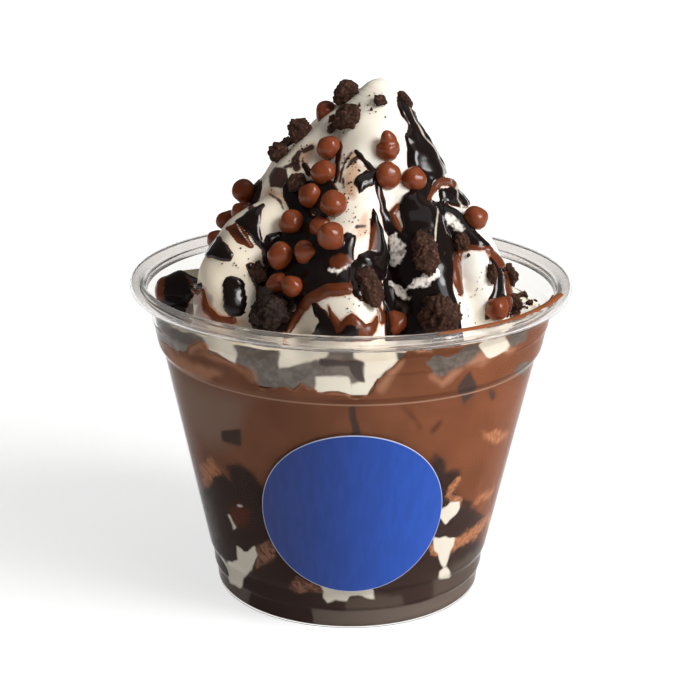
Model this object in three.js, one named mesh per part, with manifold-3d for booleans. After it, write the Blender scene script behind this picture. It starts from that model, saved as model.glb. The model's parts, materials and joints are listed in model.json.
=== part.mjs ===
// A clear plastic cup of chocolate ice cream over a layer of fudge, topped with a peaked mound of
// soft serve that carries poured sauce, broken cookie and small chocolate balls.
// Millimetres, +Z up, the cup standing on z = 0 with its axis on Z. Azimuths are degrees about
// that axis: 0 is the front (-Y), 90 the right (+X), 180 the back.

import * as THREE from "three";
import { mergeVertices } from "three/addons/utils/BufferGeometryUtils.js";
import Module from "manifold-3d";

const wasm = await Module();
wasm.setup();

// Cup: outer wall stations as [radius, height], from the foot up to the neck under the rim
const CONE_BOTTOM = [32.1, 10.0];
const CONE_TOP = [41.9, 56.5];
const OUTER_WALL = [
  [30.2, 0.7],
  [30.6, 4.6],
  [31.1, 5.2],
  [31.4, 8.8],
  CONE_BOTTOM,
  CONE_TOP,
  [43.0, 58.0],
  [43.4, 60.0],
  [44.0, 63.0],
  [44.3, 63.6],
  [44.7, 66.8],
  [45.7, 68.6],
];
const WALL = 0.7;
const RIM_RADIUS = 49;
const RIM_TOP = 72.8;
const BEAD_RADIUS = 1.65;
const BEAD_OPENING = 40;
const BEAD_STEPS = 8;
const FOOT_INNER = 27.8;
const FOOT_OUTER = 29.8;
const RECESS_RADIUS = 27;
const RECESS = 1.4;
const FLOOR = RECESS + WALL;
const CUP_SIDES = 32;

// Round label on the front of the cone
const LABEL_DIAMETER = 40;
const LABEL_THICKNESS = 0.25;
const LABEL_CLEARANCE = 0.2;
const LABEL_AZIMUTH = 1.6;
const LABEL_HEIGHT = 29.9;
const LABEL_RINGS = 3;
const LABEL_SIDES = 30;

// Contents: a gap to what holds them, and the two wavy surfaces between the layers
const GAP = 0.35;
const FUDGE_LEVEL = 25;
const FUDGE_TILT = 5;
const FUDGE_WAVE = 2;
const CHOCOLATE_LEVEL = 59.6;
const CHOCOLATE_WAVE = 1;
const BRIM_RADIUS = 43;
const FUDGE_STATIONS = [4.6, 5.2, 8.8, 10.0];
const CHOCOLATE_STATIONS = [40, 56.5, 58];
const LAYER_UNDERSIDE_RINGS = [0, 0.5];
const LAYER_TOP_RINGS = [0.66, 0.33, 0];

// Mound of soft serve: ropes that drape from the peak, each a chain of balls along a curve
// through three points, growing from the first radius to the second
const HEART = new THREE.Vector3(0, 0, 64);
const BEADS_PER_ROPE = 10;
const CREASE = 1.3;
const SKIRT = 3;
const ROPES = {
  core: { path: [[4, -1, 101.5], [2.5, -2, 81.5], [0, -2, 60.5]], radii: [8, 32.5] },
  peak: { path: [[5.4, 0, 111.9], [4.8, -2, 105.5], [3.5, -6, 97.5]], radii: [3.2, 9] },
  front: { path: [[3.5, -6, 100.5], [0.5, -17, 88.5], [-3, -25, 75.5]], radii: [7.5, 9] },
  leftHigh: { path: [[2, -1, 105.5], [-6, -4, 99.5], [-13, -8, 90.5]], radii: [5, 6.5] },
  leftLobe: { path: [[-12.8, -12, 87.1], [-22.9, -17, 79.5], [-24.5, -22, 64.5]], radii: [6, 8] },
  leftBack: { path: [[-9, 3, 96], [-19, 3.5, 82.5], [-27, 4, 63.5]], radii: [6, 6.5] },
  leftFoot: { path: [[-36.5, 2, 70], [-37.2, 1, 67], [-37.5, 0, 60.5]], radii: [3.6, 4.8] },
  leftValley: { path: [[-5, -10, 91.5], [-9, -20, 79.5], [-13, -29, 64.5]], radii: [5, 6.5] },
  frontLow: { path: [[-3, -28, 75.5], [0, -32, 70.5], [0, -34, 62.5]], radii: [7, 8] },
  rightValley: { path: [[9, -12, 92.5], [14, -22, 80.5], [17, -28, 64.5]], radii: [6, 8.5] },
  rightHigh: { path: [[8, -1, 105.5], [13.5, -5, 94.5], [20.5, -9, 82.5]], radii: [5, 6.5] },
  rightTongue: { path: [[19, -11, 85.5], [25.5, -18, 77.5], [27, -23, 62.5]], radii: [5.5, 6] },
  rightOuter: { path: [[17, -1, 87.5], [25.5, -5, 77.5], [29.5, -7, 62.5]], radii: [5.5, 6] },
  backRight: { path: [[4, 3, 106.5], [12, 13, 90.5], [20, 23, 64.5]], radii: [6, 10] },
  back: { path: [[3, 3, 106.5], [0, 16, 90.5], [-2, 29, 64.5]], radii: [6, 11] },
  backLeft: { path: [[1, 3, 105.5], [-9, 13, 90.5], [-19, 23, 64.5]], radii: [6, 10] },
};

// The ring of soft serve that meets the wall, higher at the front than behind
const BRIM_BEADS = 36;
const BRIM_BEAD_RADIUS = 7.5;
const BRIM_PATH_RADIUS = 38;
const BRIM_LEVEL = 66.2;
const BRIM_TILT = 3.2;
const BRIM_HIGH_SIDE = 15;

const MOUND_SIDES = 50;
const MOUND_ROWS = 24;
const MOUND_UNDERSIDE_ROWS = 3;
const MOUND_LOWEST_ROW = -8;
const WALL_PASSES = 4;

// Seats on the mound: elevations searched from the heart, and the step that gives the normal
const SEAT_ELEVATIONS = [-8, 89];
const SEAT_HALVINGS = 30;
const NORMAL_STEP = 1.5;

// Thick sauce on the mound: each pour runs through [azimuth, height] and tapers over its width
const SAUCE_DEPTH = 1;
const SAUCE_SHOULDER = 0.6;
const POURS = [
  { width: 5.5, path: [[62, 106.5], [52, 98.5], [40, 90.5], [30, 82.5], [24, 75.5]] },
  { width: 4.5, path: [[58, 93.5], [48, 87.5], [40, 78.5], [38, 70.5]] },
  { width: 4.5, path: [[-36, 95.5], [-29, 88.5], [-26, 80.5], [-24, 72.5]] },
  { width: 3.5, path: [[-62, 95.5], [-54, 89.5], [-62, 84.5]] },
  { width: 3.0, path: [[-43, 77.5], [-43, 72.5]] },
  { width: 4.0, path: [[-18, 82.5], [-8, 82.5], [6, 79.5]] },
  { width: 4.0, path: [[118, 103.5], [114, 90.5], [110, 76.5]] },
  { width: 4.0, path: [[172, 101.5], [165, 86.5], [174, 72.5]] },
  { width: 3.5, path: [[-132, 99.5], [-126, 88.5], [-122, 74.5]] },
];

// Chocolate balls as [azimuth, height on the mound, diameter, share of it sunk in]
const BALLS = [
  [-21, 102.5, 5.2, 0.3],
  [-18, 98.1, 5.4, 0.3],
  [-24.5, 93.7, 5.0, 0.3],
  [-8, 93.3, 5.6, 0.3],
  [-31, 88.7, 5.2, 0.3],
  [-15, 89.5, 4.8, 0.6],
  [-6.5, 87.3, 5.6, -0.1],
  [-17.5, 84.3, 4.6, 0.3],
  [-29, 82.5, 5.6, 0.2],
  [-28.5, 77.9, 4.6, 0.5],
  [-20, 77.9, 4.6, 0.2],
  [-97, 89.5, 5.4, 0.3],
  [-86, 86.1, 4.8, 0.3],
  [-101, 82.5, 4.8, 0.3],
  [-90, 79.1, 4.6, 0.1],
  [21, 98.5, 5.6, 0.3],
  [37, 97.1, 5.2, 0.3],
  [58.5, 88.5, 5.2, 0.3],
  [15, 70.5, 5.4, 0.3],
  [49, 72.5, 5.0, 0.3],
  [-104, 107.7, 5.0, 0.35],
  [152, 96.5, 5.2, 0.3],
  [141, 87.5, 5.4, 0.25],
  [166, 84.5, 5.4, 0.35],
  [-150, 92.5, 5.2, 0.3],
];

// A half-melted ball near the peak: a body with a smaller knob on it
const MELTED = { azimuth: 26, height: 103.1, body: 4.8, knob: 3.4, rise: 2.2, sink: 0.3 };

// Cookie chunks as [azimuth, height on the mound, width, tallness, thickness, lean]
const COOKIE_SINK = 0.25;
const COOKIE_ROUGHNESS = 0.16;
const COOKIE_SEED = 17;
const COOKIE_SEED_STEP = 101;
const COOKIE_COARSE_BELOW = 5.5;
const COOKIES = [
  [-60, 113.7, 5.6, 6.2, 4.8, 20],
  [-4, 108.3, 6.6, 6.0, 4.6, 30],
  [42, 111.9, 3.6, 3.4, 2.6, 0],
  [84, 111.5, 2.8, 5.4, 2.6, 0],
  [-68, 104.5, 5.8, 5.6, 5.0, 10],
  [-70, 99.9, 5.2, 5.2, 4.6, 40],
  [5, 79.1, 4.8, 10.6, 4.4, -14],
  [27.5, 84.7, 5.6, 9.8, 4.2, 12],
  [27.2, 73.4, 8.6, 8.2, 7.0, 0],
  [-26.5, 72.5, 9.0, 7.6, 6.4, 0],
  [-39.5, 79.1, 4.6, 5.4, 3.8, 20],
  [51, 79, 2.6, 5.2, 2.6, -8],
  [79, 74.1, 3.4, 5.6, 3.2, 10],
  [76, 68.7, 4.2, 5.0, 3.6, 0],
  [48.5, 85.3, 4.6, 4.2, 3.4, 0],
  [-40, 95.5, 4.8, 4.6, 3.8, 0],
  [138, 104.5, 5.0, 5.6, 4.2, 30],
  [146, 78.5, 7.0, 7.4, 5.4, -20],
  [-164, 80.5, 6.4, 6.0, 5.0, 0],
  [-130, 97.5, 5.0, 5.6, 4.0, -25],
];

const UP = new THREE.Vector3(0, 0, 1);
const WELD = 1e-4;
const TINY = 1e-6;
const RANDOM_FACTOR = 16807;
const RANDOM_PRIME = 2147483647;

// Plain helpers

function interpolate(stations, height) {
  let [radius] = stations[0];
  for (let i = 1; i < stations.length; i += 1) {
    const [r0, z0] = stations[i - 1];
    const [r1, z1] = stations[i];
    const share = THREE.MathUtils.clamp((height - z0) / (z1 - z0), 0, 1);
    if (height >= z0) {
      radius = r0 + share * (r1 - r0);
    }
  }
  return radius;
}

function outsideRadius(height) {
  return interpolate(OUTER_WALL, height);
}

function insideRadius(height) {
  return outsideRadius(height) - WALL;
}

// Turns a profile about Z, with azimuth 0 at the front
function turned(profile, sides) {
  const points = profile.map(([radius, height]) => new THREE.Vector2(radius, height));
  return new THREE.LatheGeometry(points, sides).rotateX(Math.PI / 2);
}

// Moves every vertex of a geometry by a rule
function reshaped(geometry, rule) {
  const position = geometry.getAttribute("position");
  const vertex = new THREE.Vector3();
  for (let i = 0; i < position.count; i += 1) {
    vertex.fromBufferAttribute(position, i);
    rule(vertex);
    position.setXYZ(i, vertex.x, vertex.y, vertex.z);
  }
  return geometry;
}

function azimuthOf(vertex) {
  return THREE.MathUtils.radToDeg(Math.atan2(vertex.x, -vertex.y));
}

function directionAt(azimuth, elevation) {
  const a = THREE.MathUtils.degToRad(azimuth);
  const e = THREE.MathUtils.degToRad(elevation);
  return new THREE.Vector3(Math.cos(e) * Math.sin(a), -Math.cos(e) * Math.cos(a), Math.sin(e));
}

// Keeps the positions alone and joins equal ones
function welded(geometry) {
  const plain = geometry.clone();
  plain.deleteAttribute("normal");
  plain.deleteAttribute("uv");
  return mergeVertices(plain, WELD);
}

function solid(geometry) {
  const closed = welded(geometry);
  const vertProperties = new Float32Array(closed.getAttribute("position").array);
  const triVerts = new Uint32Array(closed.getIndex().array);
  const mesh = new wasm.Mesh({ numProp: 3, vertProperties, triVerts });
  mesh.merge();
  return new wasm.Manifold(mesh);
}

function geometryOf(manifold) {
  const { vertProperties, triVerts } = manifold.getMesh();
  const geometry = new THREE.BufferGeometry();
  geometry.setAttribute("position", new THREE.BufferAttribute(vertProperties, 3));
  geometry.setIndex(new THREE.BufferAttribute(triVerts, 1));
  geometry.computeVertexNormals();
  return geometry;
}

// The largest of the pieces that a cut leaves
function mainBody(manifold) {
  const bodies = manifold.decompose();
  return bodies.reduce((best, body) => (body.volume() > best.volume() ? body : best));
}

// Cup

function beadArc() {
  const centre = [RIM_RADIUS - BEAD_RADIUS, RIM_TOP - BEAD_RADIUS];
  const sweep = 360 - 2 * BEAD_OPENING;
  return Array.from({ length: BEAD_STEPS + 1 }, (_, i) => {
    const angle = THREE.MathUtils.degToRad(BEAD_OPENING - 180 + (sweep * i) / BEAD_STEPS);
    return [centre[0] + BEAD_RADIUS * Math.cos(angle), centre[1] + BEAD_RADIUS * Math.sin(angle)];
  });
}

function cupGeometry() {
  const inner = OUTER_WALL.filter(([, height]) => height > FLOOR)
    .map(([radius, height]) => [radius - WALL, height])
    .reverse();
  const profile = [
    [0, RECESS],
    [RECESS_RADIUS, RECESS],
    [FOOT_INNER, 0],
    [FOOT_OUTER, 0],
    ...OUTER_WALL,
    ...beadArc(),
    ...inner,
    [insideRadius(FLOOR), FLOOR],
    [0, FLOOR],
  ];
  return turned(profile, CUP_SIDES);
}

// Label: a flat disc wrapped round the cone

function labelGeometry() {
  const radius = LABEL_DIAMETER / 2;
  const back = Array.from({ length: LABEL_RINGS + 1 }, (_, i) => [(radius * i) / LABEL_RINGS, 0]);
  const front = back.map(([r]) => [r, LABEL_THICKNESS]).reverse();
  const [lowRadius, low] = CONE_BOTTOM;
  const [highRadius, high] = CONE_TOP;
  const flare = Math.atan2(highRadius - lowRadius, high - low);
  return reshaped(turned([...back, ...front], LABEL_SIDES), (vertex) => {
    const height = LABEL_HEIGHT + vertex.y * Math.cos(flare);
    const cone = lowRadius + (height - low) * Math.tan(flare);
    const azimuth = LABEL_AZIMUTH + THREE.MathUtils.radToDeg(vertex.x / cone);
    const stand = LABEL_CLEARANCE + vertex.z;
    const spoke = directionAt(azimuth, 0).multiplyScalar(cone + stand * Math.cos(flare));
    vertex.set(spoke.x, spoke.y, height - stand * Math.sin(flare));
  });
}

// Layers in the cup

function fudgeTop(azimuth, radius) {
  const a = THREE.MathUtils.degToRad(azimuth);
  const wave = FUDGE_WAVE * Math.sin(3 * a) - FUDGE_TILT * Math.sin(a);
  return FUDGE_LEVEL + (wave * radius) / BRIM_RADIUS;
}

function chocolateSlope(azimuth) {
  const a = THREE.MathUtils.degToRad(azimuth);
  return (-CHOCOLATE_WAVE * Math.cos(2 * a)) / BRIM_RADIUS;
}

function chocolateTop(azimuth, radius) {
  return CHOCOLATE_LEVEL + chocolateSlope(azimuth) * radius;
}

// A body that fills the cup between two surfaces given by azimuth and radius. Its side follows the
// wall through the stations whose heights are named.
function layerGeometry(bottomAt, topAt, stations) {
  const last = stations.length + 1;
  const profile = [
    ...LAYER_UNDERSIDE_RINGS.map((share) => [share, 0]),
    ...Array.from({ length: last + 1 }, (_, row) => [1, row]),
    ...LAYER_TOP_RINGS.map((share) => [share, last]),
  ];
  return reshaped(turned(profile, CUP_SIDES), (vertex) => {
    const share = Math.hypot(vertex.x, vertex.y);
    const azimuth = azimuthOf(vertex);
    const radius = share * BRIM_RADIUS;
    const heights = [bottomAt(azimuth, radius), ...stations, topAt(azimuth, radius)];
    const height = heights[Math.round(vertex.z)];
    const spoke = directionAt(azimuth, 0).multiplyScalar(share * (insideRadius(height) - GAP));
    vertex.set(spoke.x, spoke.y, height);
  });
}

// Mound

function ropeBeads({ path, radii }) {
  const [top, middle, bottom] = path.map((p) => new THREE.Vector3(...p));
  const handle = middle.clone().multiplyScalar(2).sub(top.clone().add(bottom).multiplyScalar(0.5));
  const curve = new THREE.QuadraticBezierCurve3(top, handle, bottom);
  return Array.from({ length: BEADS_PER_ROPE }, (_, i) => {
    const t = i / (BEADS_PER_ROPE - 1);
    return { centre: curve.getPoint(t).sub(HEART), radius: THREE.MathUtils.lerp(...radii, t) };
  });
}

function brimBeads() {
  return Array.from({ length: BRIM_BEADS }, (_, i) => {
    const azimuth = (360 * i) / BRIM_BEADS;
    const lean = Math.cos(THREE.MathUtils.degToRad(azimuth - BRIM_HIGH_SIDE));
    const centre = directionAt(azimuth, 0).multiplyScalar(BRIM_PATH_RADIUS);
    centre.z = BRIM_LEVEL + BRIM_TILT * lean - BRIM_BEAD_RADIUS;
    return { centre: centre.sub(HEART), radius: BRIM_BEAD_RADIUS };
  });
}

const BEADS = [...Object.values(ROPES).flatMap(ropeBeads), ...brimBeads()];

// Distance from the heart to where a ray leaves a ball, falling off steeply where it misses
function exitDistance(direction, { centre, radius }) {
  const along = direction.dot(centre);
  const aside = Math.sqrt(Math.max(centre.lengthSq() - along * along, 0));
  const half = Math.sqrt(Math.max(radius * radius - aside * aside, 0));
  return along + half - SKIRT * Math.max(aside - radius, 0);
}

// The mound's outline seen from its heart: the softened greatest exit of all the balls
function ropeReach(direction) {
  const exits = BEADS.map((bead) => exitDistance(direction, bead));
  const farthest = Math.max(...exits);
  const sum = exits.reduce((total, exit) => total + Math.exp((exit - farthest) / CREASE), 0);
  return farthest + CREASE * Math.log(sum);
}

// The same, held inside the cup's wall and above the chocolate layer
function moundReach(direction) {
  const flat = Math.hypot(direction.x, direction.y);
  const fall = direction.z - chocolateSlope(azimuthOf(direction)) * flat;
  let reach = ropeReach(direction);
  if (fall < 0) {
    reach = Math.min(reach, (CHOCOLATE_LEVEL + GAP - HEART.z) / fall);
  }
  for (let pass = 0; pass < WALL_PASSES; pass += 1) {
    const limit = insideRadius(HEART.z + reach * direction.z) - GAP;
    reach = flat * reach > limit ? limit / flat : reach;
  }
  return reach;
}

function moundPoint(azimuth, elevation) {
  const direction = directionAt(azimuth, elevation);
  return direction.multiplyScalar(moundReach(direction)).add(HEART);
}

// Point and outward normal on the mound at an azimuth and a height
function onMound(azimuth, height) {
  let [low, high] = SEAT_ELEVATIONS;
  for (let pass = 0; pass < SEAT_HALVINGS; pass += 1) {
    const middle = (low + high) / 2;
    if (moundPoint(azimuth, middle).z < height) {
      low = middle;
    } else {
      high = middle;
    }
  }
  const along = moundPoint(azimuth + NORMAL_STEP, low).sub(moundPoint(azimuth - NORMAL_STEP, low));
  const rise = moundPoint(azimuth, low + NORMAL_STEP).sub(moundPoint(azimuth, low - NORMAL_STEP));
  return { point: moundPoint(azimuth, low), normal: along.cross(rise).normalize() };
}

const POUR_LINES = POURS.map(({ width, path }) => ({
  width,
  points: path.map(([azimuth, height]) => onMound(azimuth, height).point),
}));

function sauceDepth(point) {
  const nearest = new THREE.Vector3();
  let depth = 0;
  for (const { width, points } of POUR_LINES) {
    for (let i = 1; i < points.length; i += 1) {
      new THREE.Line3(points[i - 1], points[i]).closestPointToPoint(point, true, nearest);
      const cover = 1 - nearest.distanceTo(point) / width;
      depth = Math.max(depth, SAUCE_DEPTH * THREE.MathUtils.smoothstep(cover, 0, SAUCE_SHOULDER));
    }
  }
  return depth;
}

// Row heights of the sphere that becomes the mound: a few rows under it, the rest up its side
function rowElevation(share) {
  const under = MOUND_UNDERSIDE_ROWS / MOUND_ROWS;
  if (share < under) {
    return THREE.MathUtils.mapLinear(share, 0, under, -90, MOUND_LOWEST_ROW);
  }
  return THREE.MathUtils.mapLinear(share, under, 1, MOUND_LOWEST_ROW, 90);
}

function moundGeometry() {
  const sphere = new THREE.SphereGeometry(1, MOUND_SIDES, MOUND_ROWS).rotateX(Math.PI / 2);
  return reshaped(welded(sphere), (vertex) => {
    const share = 0.5 + Math.asin(THREE.MathUtils.clamp(vertex.z, -1, 1)) / Math.PI;
    const direction = directionAt(azimuthOf(vertex), rowElevation(share));
    const reach = moundReach(direction);
    const depth = sauceDepth(direction.clone().multiplyScalar(reach).add(HEART));
    const held = insideRadius(HEART.z + reach * direction.z) - GAP;
    const flat = Math.hypot(direction.x, direction.y);
    const dressed = Math.min(reach + depth, Math.max(reach, held / Math.max(flat, TINY)));
    vertex.copy(direction.multiplyScalar(dressed).add(HEART));
  });
}

// Toppings

function ballGeometry(radius, centre) {
  return new THREE.IcosahedronGeometry(radius, 1).translate(centre.x, centre.y, centre.z);
}

function ballAt([azimuth, height, diameter, sink], grow) {
  const { point, normal } = onMound(azimuth, height);
  const centre = point.addScaledVector(normal, diameter * (0.5 - sink));
  return ballGeometry(diameter / 2 + grow, centre);
}

function meltedBall(grow) {
  const { point, normal } = onMound(MELTED.azimuth, MELTED.height);
  const centre = point.addScaledVector(normal, MELTED.body * (0.5 - MELTED.sink));
  const body = solid(ballGeometry(MELTED.body / 2 + grow, centre));
  const knob = solid(ballGeometry(MELTED.knob / 2 + grow, centre.clone().addScaledVector(UP, MELTED.rise)));
  return geometryOf(body.add(knob));
}

// Repeatable random numbers from 0 to 1
function randomFrom(seed) {
  let state = seed;
  return () => {
    state = (state * RANDOM_FACTOR) % RANDOM_PRIME;
    return state / RANDOM_PRIME;
  };
}

// A rough chunk: a rounded block whose corners are pushed in and out
function cookieAt([azimuth, height, width, tallness, thickness, lean], index, grow) {
  const { point, normal } = onMound(azimuth, height);
  const random = randomFrom(COOKIE_SEED + COOKIE_SEED_STEP * (index + 1));
  const detail = Math.max(width, tallness) < COOKIE_COARSE_BELOW ? 0 : 1;
  const block = reshaped(welded(new THREE.IcosahedronGeometry(1, detail)), (vertex) => {
    vertex.multiplyScalar(1 + COOKIE_ROUGHNESS * (2 * random() - 1));
    vertex.multiply(new THREE.Vector3(width / 2 + grow, tallness / 2 + grow, thickness / 2 + grow));
  });
  const side = new THREE.Vector3().crossVectors(UP, normal).normalize();
  const rise = new THREE.Vector3().crossVectors(normal, side);
  const turn = new THREE.Matrix4().makeBasis(side, rise, normal);
  const tilt = new THREE.Matrix4().makeRotationZ(THREE.MathUtils.degToRad(lean));
  const centre = point.addScaledVector(normal, thickness * (0.5 - COOKIE_SINK));
  return block.applyMatrix4(tilt).applyMatrix4(turn).translate(centre.x, centre.y, centre.z);
}

function toppingGeometries(grow) {
  return [
    ...BALLS.map((ball) => ballAt(ball, grow)),
    meltedBall(grow),
    ...COOKIES.map((cookie, index) => cookieAt(cookie, index, grow)),
  ];
}

// The mound with a seat cut for every topping
function seatedMound() {
  const seats = toppingGeometries(GAP).map(solid);
  const cut = seats.reduce((mound, seat) => mound.subtract(seat), solid(moundGeometry()));
  return geometryOf(mainBody(cut));
}

// Finishes
const FINISHES = {
  clearPlastic: { color: 0xeef2f2, roughness: 0.08, metalness: 0, transparent: true, opacity: 0.3 },
  blueLabel: { color: 0x2a4da6, roughness: 0.45, metalness: 0 },
  fudge: { color: 0x2b1d18, roughness: 0.35, metalness: 0 },
  chocolateIce: { color: 0x7d4a35, roughness: 0.5, metalness: 0 },
  softServe: { color: 0xf3efe4, roughness: 0.45, metalness: 0 },
  milkChocolate: { color: 0x7a3d26, roughness: 0.3, metalness: 0 },
  darkCookie: { color: 0x2f2320, roughness: 0.9, metalness: 0 },
};

const group = new THREE.Group();

function place(name, geometry, finish) {
  const mesh = new THREE.Mesh(geometry, new THREE.MeshStandardMaterial(FINISHES[finish]));
  mesh.name = name;
  group.add(mesh);
}

function numbered(stem, index) {
  return `${stem}_${String(index + 1).padStart(2, "0")}`;
}

const fudgeBottom = () => FLOOR + GAP;
const chocolateBottom = (azimuth, radius) => fudgeTop(azimuth, radius) + GAP;

place("cup", cupGeometry(), "clearPlastic");
place("label", labelGeometry(), "blueLabel");
place("fudge_layer", layerGeometry(fudgeBottom, fudgeTop, FUDGE_STATIONS), "fudge");
place("chocolate_layer", layerGeometry(chocolateBottom, chocolateTop, CHOCOLATE_STATIONS), "chocolateIce");
place("soft_serve", seatedMound(), "softServe");
BALLS.forEach((ball, index) => {
  place(numbered("chocolate_ball", index), ballAt(ball, 0), "milkChocolate");
});
place("melted_ball", meltedBall(0), "milkChocolate");
COOKIES.forEach((cookie, index) => {
  place(numbered("cookie_chunk", index), cookieAt(cookie, index, 0), "darkCookie");
});

export default group;
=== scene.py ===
"""Dresses a clear cup of chocolate ice cream under a peaked mound of soft serve.

Lengths are millimetres unless a name says otherwise, and meshes are written in metres. Azimuths are degrees
about the cup's axis: 0 is the front (-Y), 90 the right (+X), 180 the back. Pixels are those of the photo's
700 x 700 frame, and each one is carried onto the surface that it lies on.
"""

import json
import logging
from dataclasses import dataclass, field
from enum import Enum
from typing import Any, Sequence

import bpy
import numpy as np
from mathutils import Matrix, Vector
from mathutils.bvhtree import BVHTree

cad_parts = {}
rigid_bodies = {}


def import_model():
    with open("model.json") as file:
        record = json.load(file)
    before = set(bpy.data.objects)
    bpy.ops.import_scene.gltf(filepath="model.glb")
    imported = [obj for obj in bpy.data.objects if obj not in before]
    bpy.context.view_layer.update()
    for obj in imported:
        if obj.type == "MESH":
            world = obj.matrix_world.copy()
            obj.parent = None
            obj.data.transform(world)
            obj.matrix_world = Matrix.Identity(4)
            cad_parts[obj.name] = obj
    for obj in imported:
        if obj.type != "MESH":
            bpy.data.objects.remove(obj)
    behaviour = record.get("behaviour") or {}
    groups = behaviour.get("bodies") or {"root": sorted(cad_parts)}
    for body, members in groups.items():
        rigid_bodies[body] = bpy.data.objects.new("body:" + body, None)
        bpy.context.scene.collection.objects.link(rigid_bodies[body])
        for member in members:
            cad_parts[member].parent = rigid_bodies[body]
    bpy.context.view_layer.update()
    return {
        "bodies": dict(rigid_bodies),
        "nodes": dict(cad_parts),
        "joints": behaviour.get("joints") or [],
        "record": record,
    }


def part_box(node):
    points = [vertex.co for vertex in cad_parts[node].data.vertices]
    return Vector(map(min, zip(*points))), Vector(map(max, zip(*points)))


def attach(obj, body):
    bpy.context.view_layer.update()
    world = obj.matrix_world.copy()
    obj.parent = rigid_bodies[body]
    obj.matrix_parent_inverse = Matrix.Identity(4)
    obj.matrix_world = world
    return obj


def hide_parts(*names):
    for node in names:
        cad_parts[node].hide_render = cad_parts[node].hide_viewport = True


LOG = logging.getLogger("ice_cream_cup")
BODY = "root"
MM = 0.001

Array = np.ndarray
Colour = tuple[float, float, float, float]
Pixel = tuple[float, float]
Path = tuple[Pixel, ...]
Piece = bpy.types.Object
Material = bpy.types.Material
Socket = bpy.types.NodeSocket
NodeTree = bpy.types.NodeTree
UP = np.array([0.0, 0.0, 1.0])


def tint(red: int, green: int, blue: int) -> Colour:
    """Turns a screen colour with parts from 0 to 255 into the linear one that shaders take, fully opaque."""
    screen = np.array([red, green, blue]) / 255.0
    linear = np.where(screen <= 0.04045, screen / 12.92, ((screen + 0.055) / 1.055) ** 2.4)
    return (*[float(part) for part in linear], 1.0)


def smoothstep(values: Array, low: float, high: float) -> Array:
    """The cubic 3t^2 - 2t^3 of each value's share of the way from low to high, held to 0 and 1."""
    share = np.clip((values - low) / (high - low), 0.0, 1.0)
    return share * share * (3.0 - 2.0 * share)


def spoke(azimuth: Array) -> Array:
    """Level unit vectors at azimuths in degrees, as (sin a, -cos a, 0)."""
    angle = np.radians(azimuth)
    return np.stack([np.sin(angle), -np.cos(angle), np.zeros_like(angle)], axis=-1)


def azimuth_of(points: Array) -> Array:
    """The azimuths of points about the cup's axis, in degrees."""
    return np.degrees(np.arctan2(points[..., 0], -points[..., 1]))


def unit(vectors: Array) -> Array:
    """Vectors scaled to a length of one."""
    return vectors / np.maximum(np.linalg.norm(vectors, axis=-1, keepdims=True), 1e-9)


def linked(name: str, data: bpy.types.ID) -> Piece:
    """A new object in the scene."""
    made = bpy.data.objects.new(name, data)
    bpy.context.scene.collection.objects.link(made)
    return made


@dataclass(frozen=True)
class PhotoView:
    """The photo's camera: a square frame seen from the front, a little above.

    A point's offset from the eye along the right and up axes, times the focal length in pixels and over its
    depth, is its place in the frame, turned by the roll about the frame's centre.
    """

    frame: float = 700.0
    focal: float = 1771.8
    distance: float = 400.0
    elevation: float = 18.07
    roll: float = 0.667
    aim: tuple[float, float, float] = (0.0, 0.0, 54.54)
    sensor: float = 36.0
    clip_start: float = 10.0

    def axes(self) -> tuple[Array, Array, Array]:
        """The camera's right, up and backward unit vectors, with its roll in them."""
        lift = np.radians(self.elevation)
        turn = np.radians(self.roll)
        right = np.array([1.0, 0.0, 0.0])
        up = np.array([0.0, np.sin(lift), np.cos(lift)])
        back = np.array([0.0, -np.cos(lift), np.sin(lift)])
        rolled_right = np.cos(turn) * right + np.sin(turn) * up
        rolled_up = np.cos(turn) * up - np.sin(turn) * right
        return rolled_right, rolled_up, back

    def eye(self) -> Array:
        """The camera's place."""
        return np.array(self.aim) + self.distance * self.axes()[2]

    def pixels(self, points: Array) -> Array:
        """Carries points into the frame.

        Args:
            points: Points as (n, 3).

        Returns:
            Pixel columns, pixel rows and depths as (n, 3).
        """
        right, up, back = self.axes()
        offset = points - self.eye()
        depth = -(offset @ back)
        column = self.frame / 2 + self.focal * (offset @ right) / depth
        row = self.frame / 2 - self.focal * (offset @ up) / depth
        return np.stack([column, row, depth], axis=-1)

    def rays(self, pixels: Array) -> Array:
        """Unit directions from the eye through pixels given as (n, 2)."""
        right, up, back = self.axes()
        across = (pixels[:, :1] - self.frame / 2) / self.focal
        down = (pixels[:, 1:2] - self.frame / 2) / self.focal
        return unit(across * right - down * up - back)

    def add_camera(self) -> None:
        """Makes the camera and gives it to the scene."""
        data = bpy.data.cameras.new("photo_camera")
        data.sensor_width = self.sensor
        data.lens = self.sensor * self.focal / self.frame
        data.clip_start = self.clip_start * MM
        camera = linked("photo_camera", data)
        turn = Matrix([list(axis) for axis in self.axes()]).transposed().to_4x4()
        camera.matrix_world = Matrix.Translation(Vector(self.eye() * MM)) @ turn
        bpy.context.scene.camera = camera


VIEW = PhotoView()


@dataclass(frozen=True)
class Wobble:
    """Smooth seeded noise with unit spread: a sum of sine waves in random directions.

    Attributes:
        length: Length of a middling wave.
        seed: Seed of the waves.
        waves: How many waves are added.
        pitches: Span of the waves' pitches, as shares of the middling wave's.
    """

    length: float
    seed: int
    waves: int = 24
    pitches: tuple[float, float] = (0.6, 1.5)

    def at(self, points: Array) -> Array:
        """The noise at points given as (..., 3)."""
        draw = np.random.default_rng(self.seed)
        way = unit(draw.normal(size=(self.waves, 3)))
        pitch = 2 * np.pi * draw.uniform(*self.pitches, self.waves) / self.length
        phase = draw.uniform(0, 2 * np.pi, self.waves)
        return np.sin(points @ (way * pitch[:, None]).T + phase).sum(axis=-1) * np.sqrt(2 / self.waves)


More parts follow.
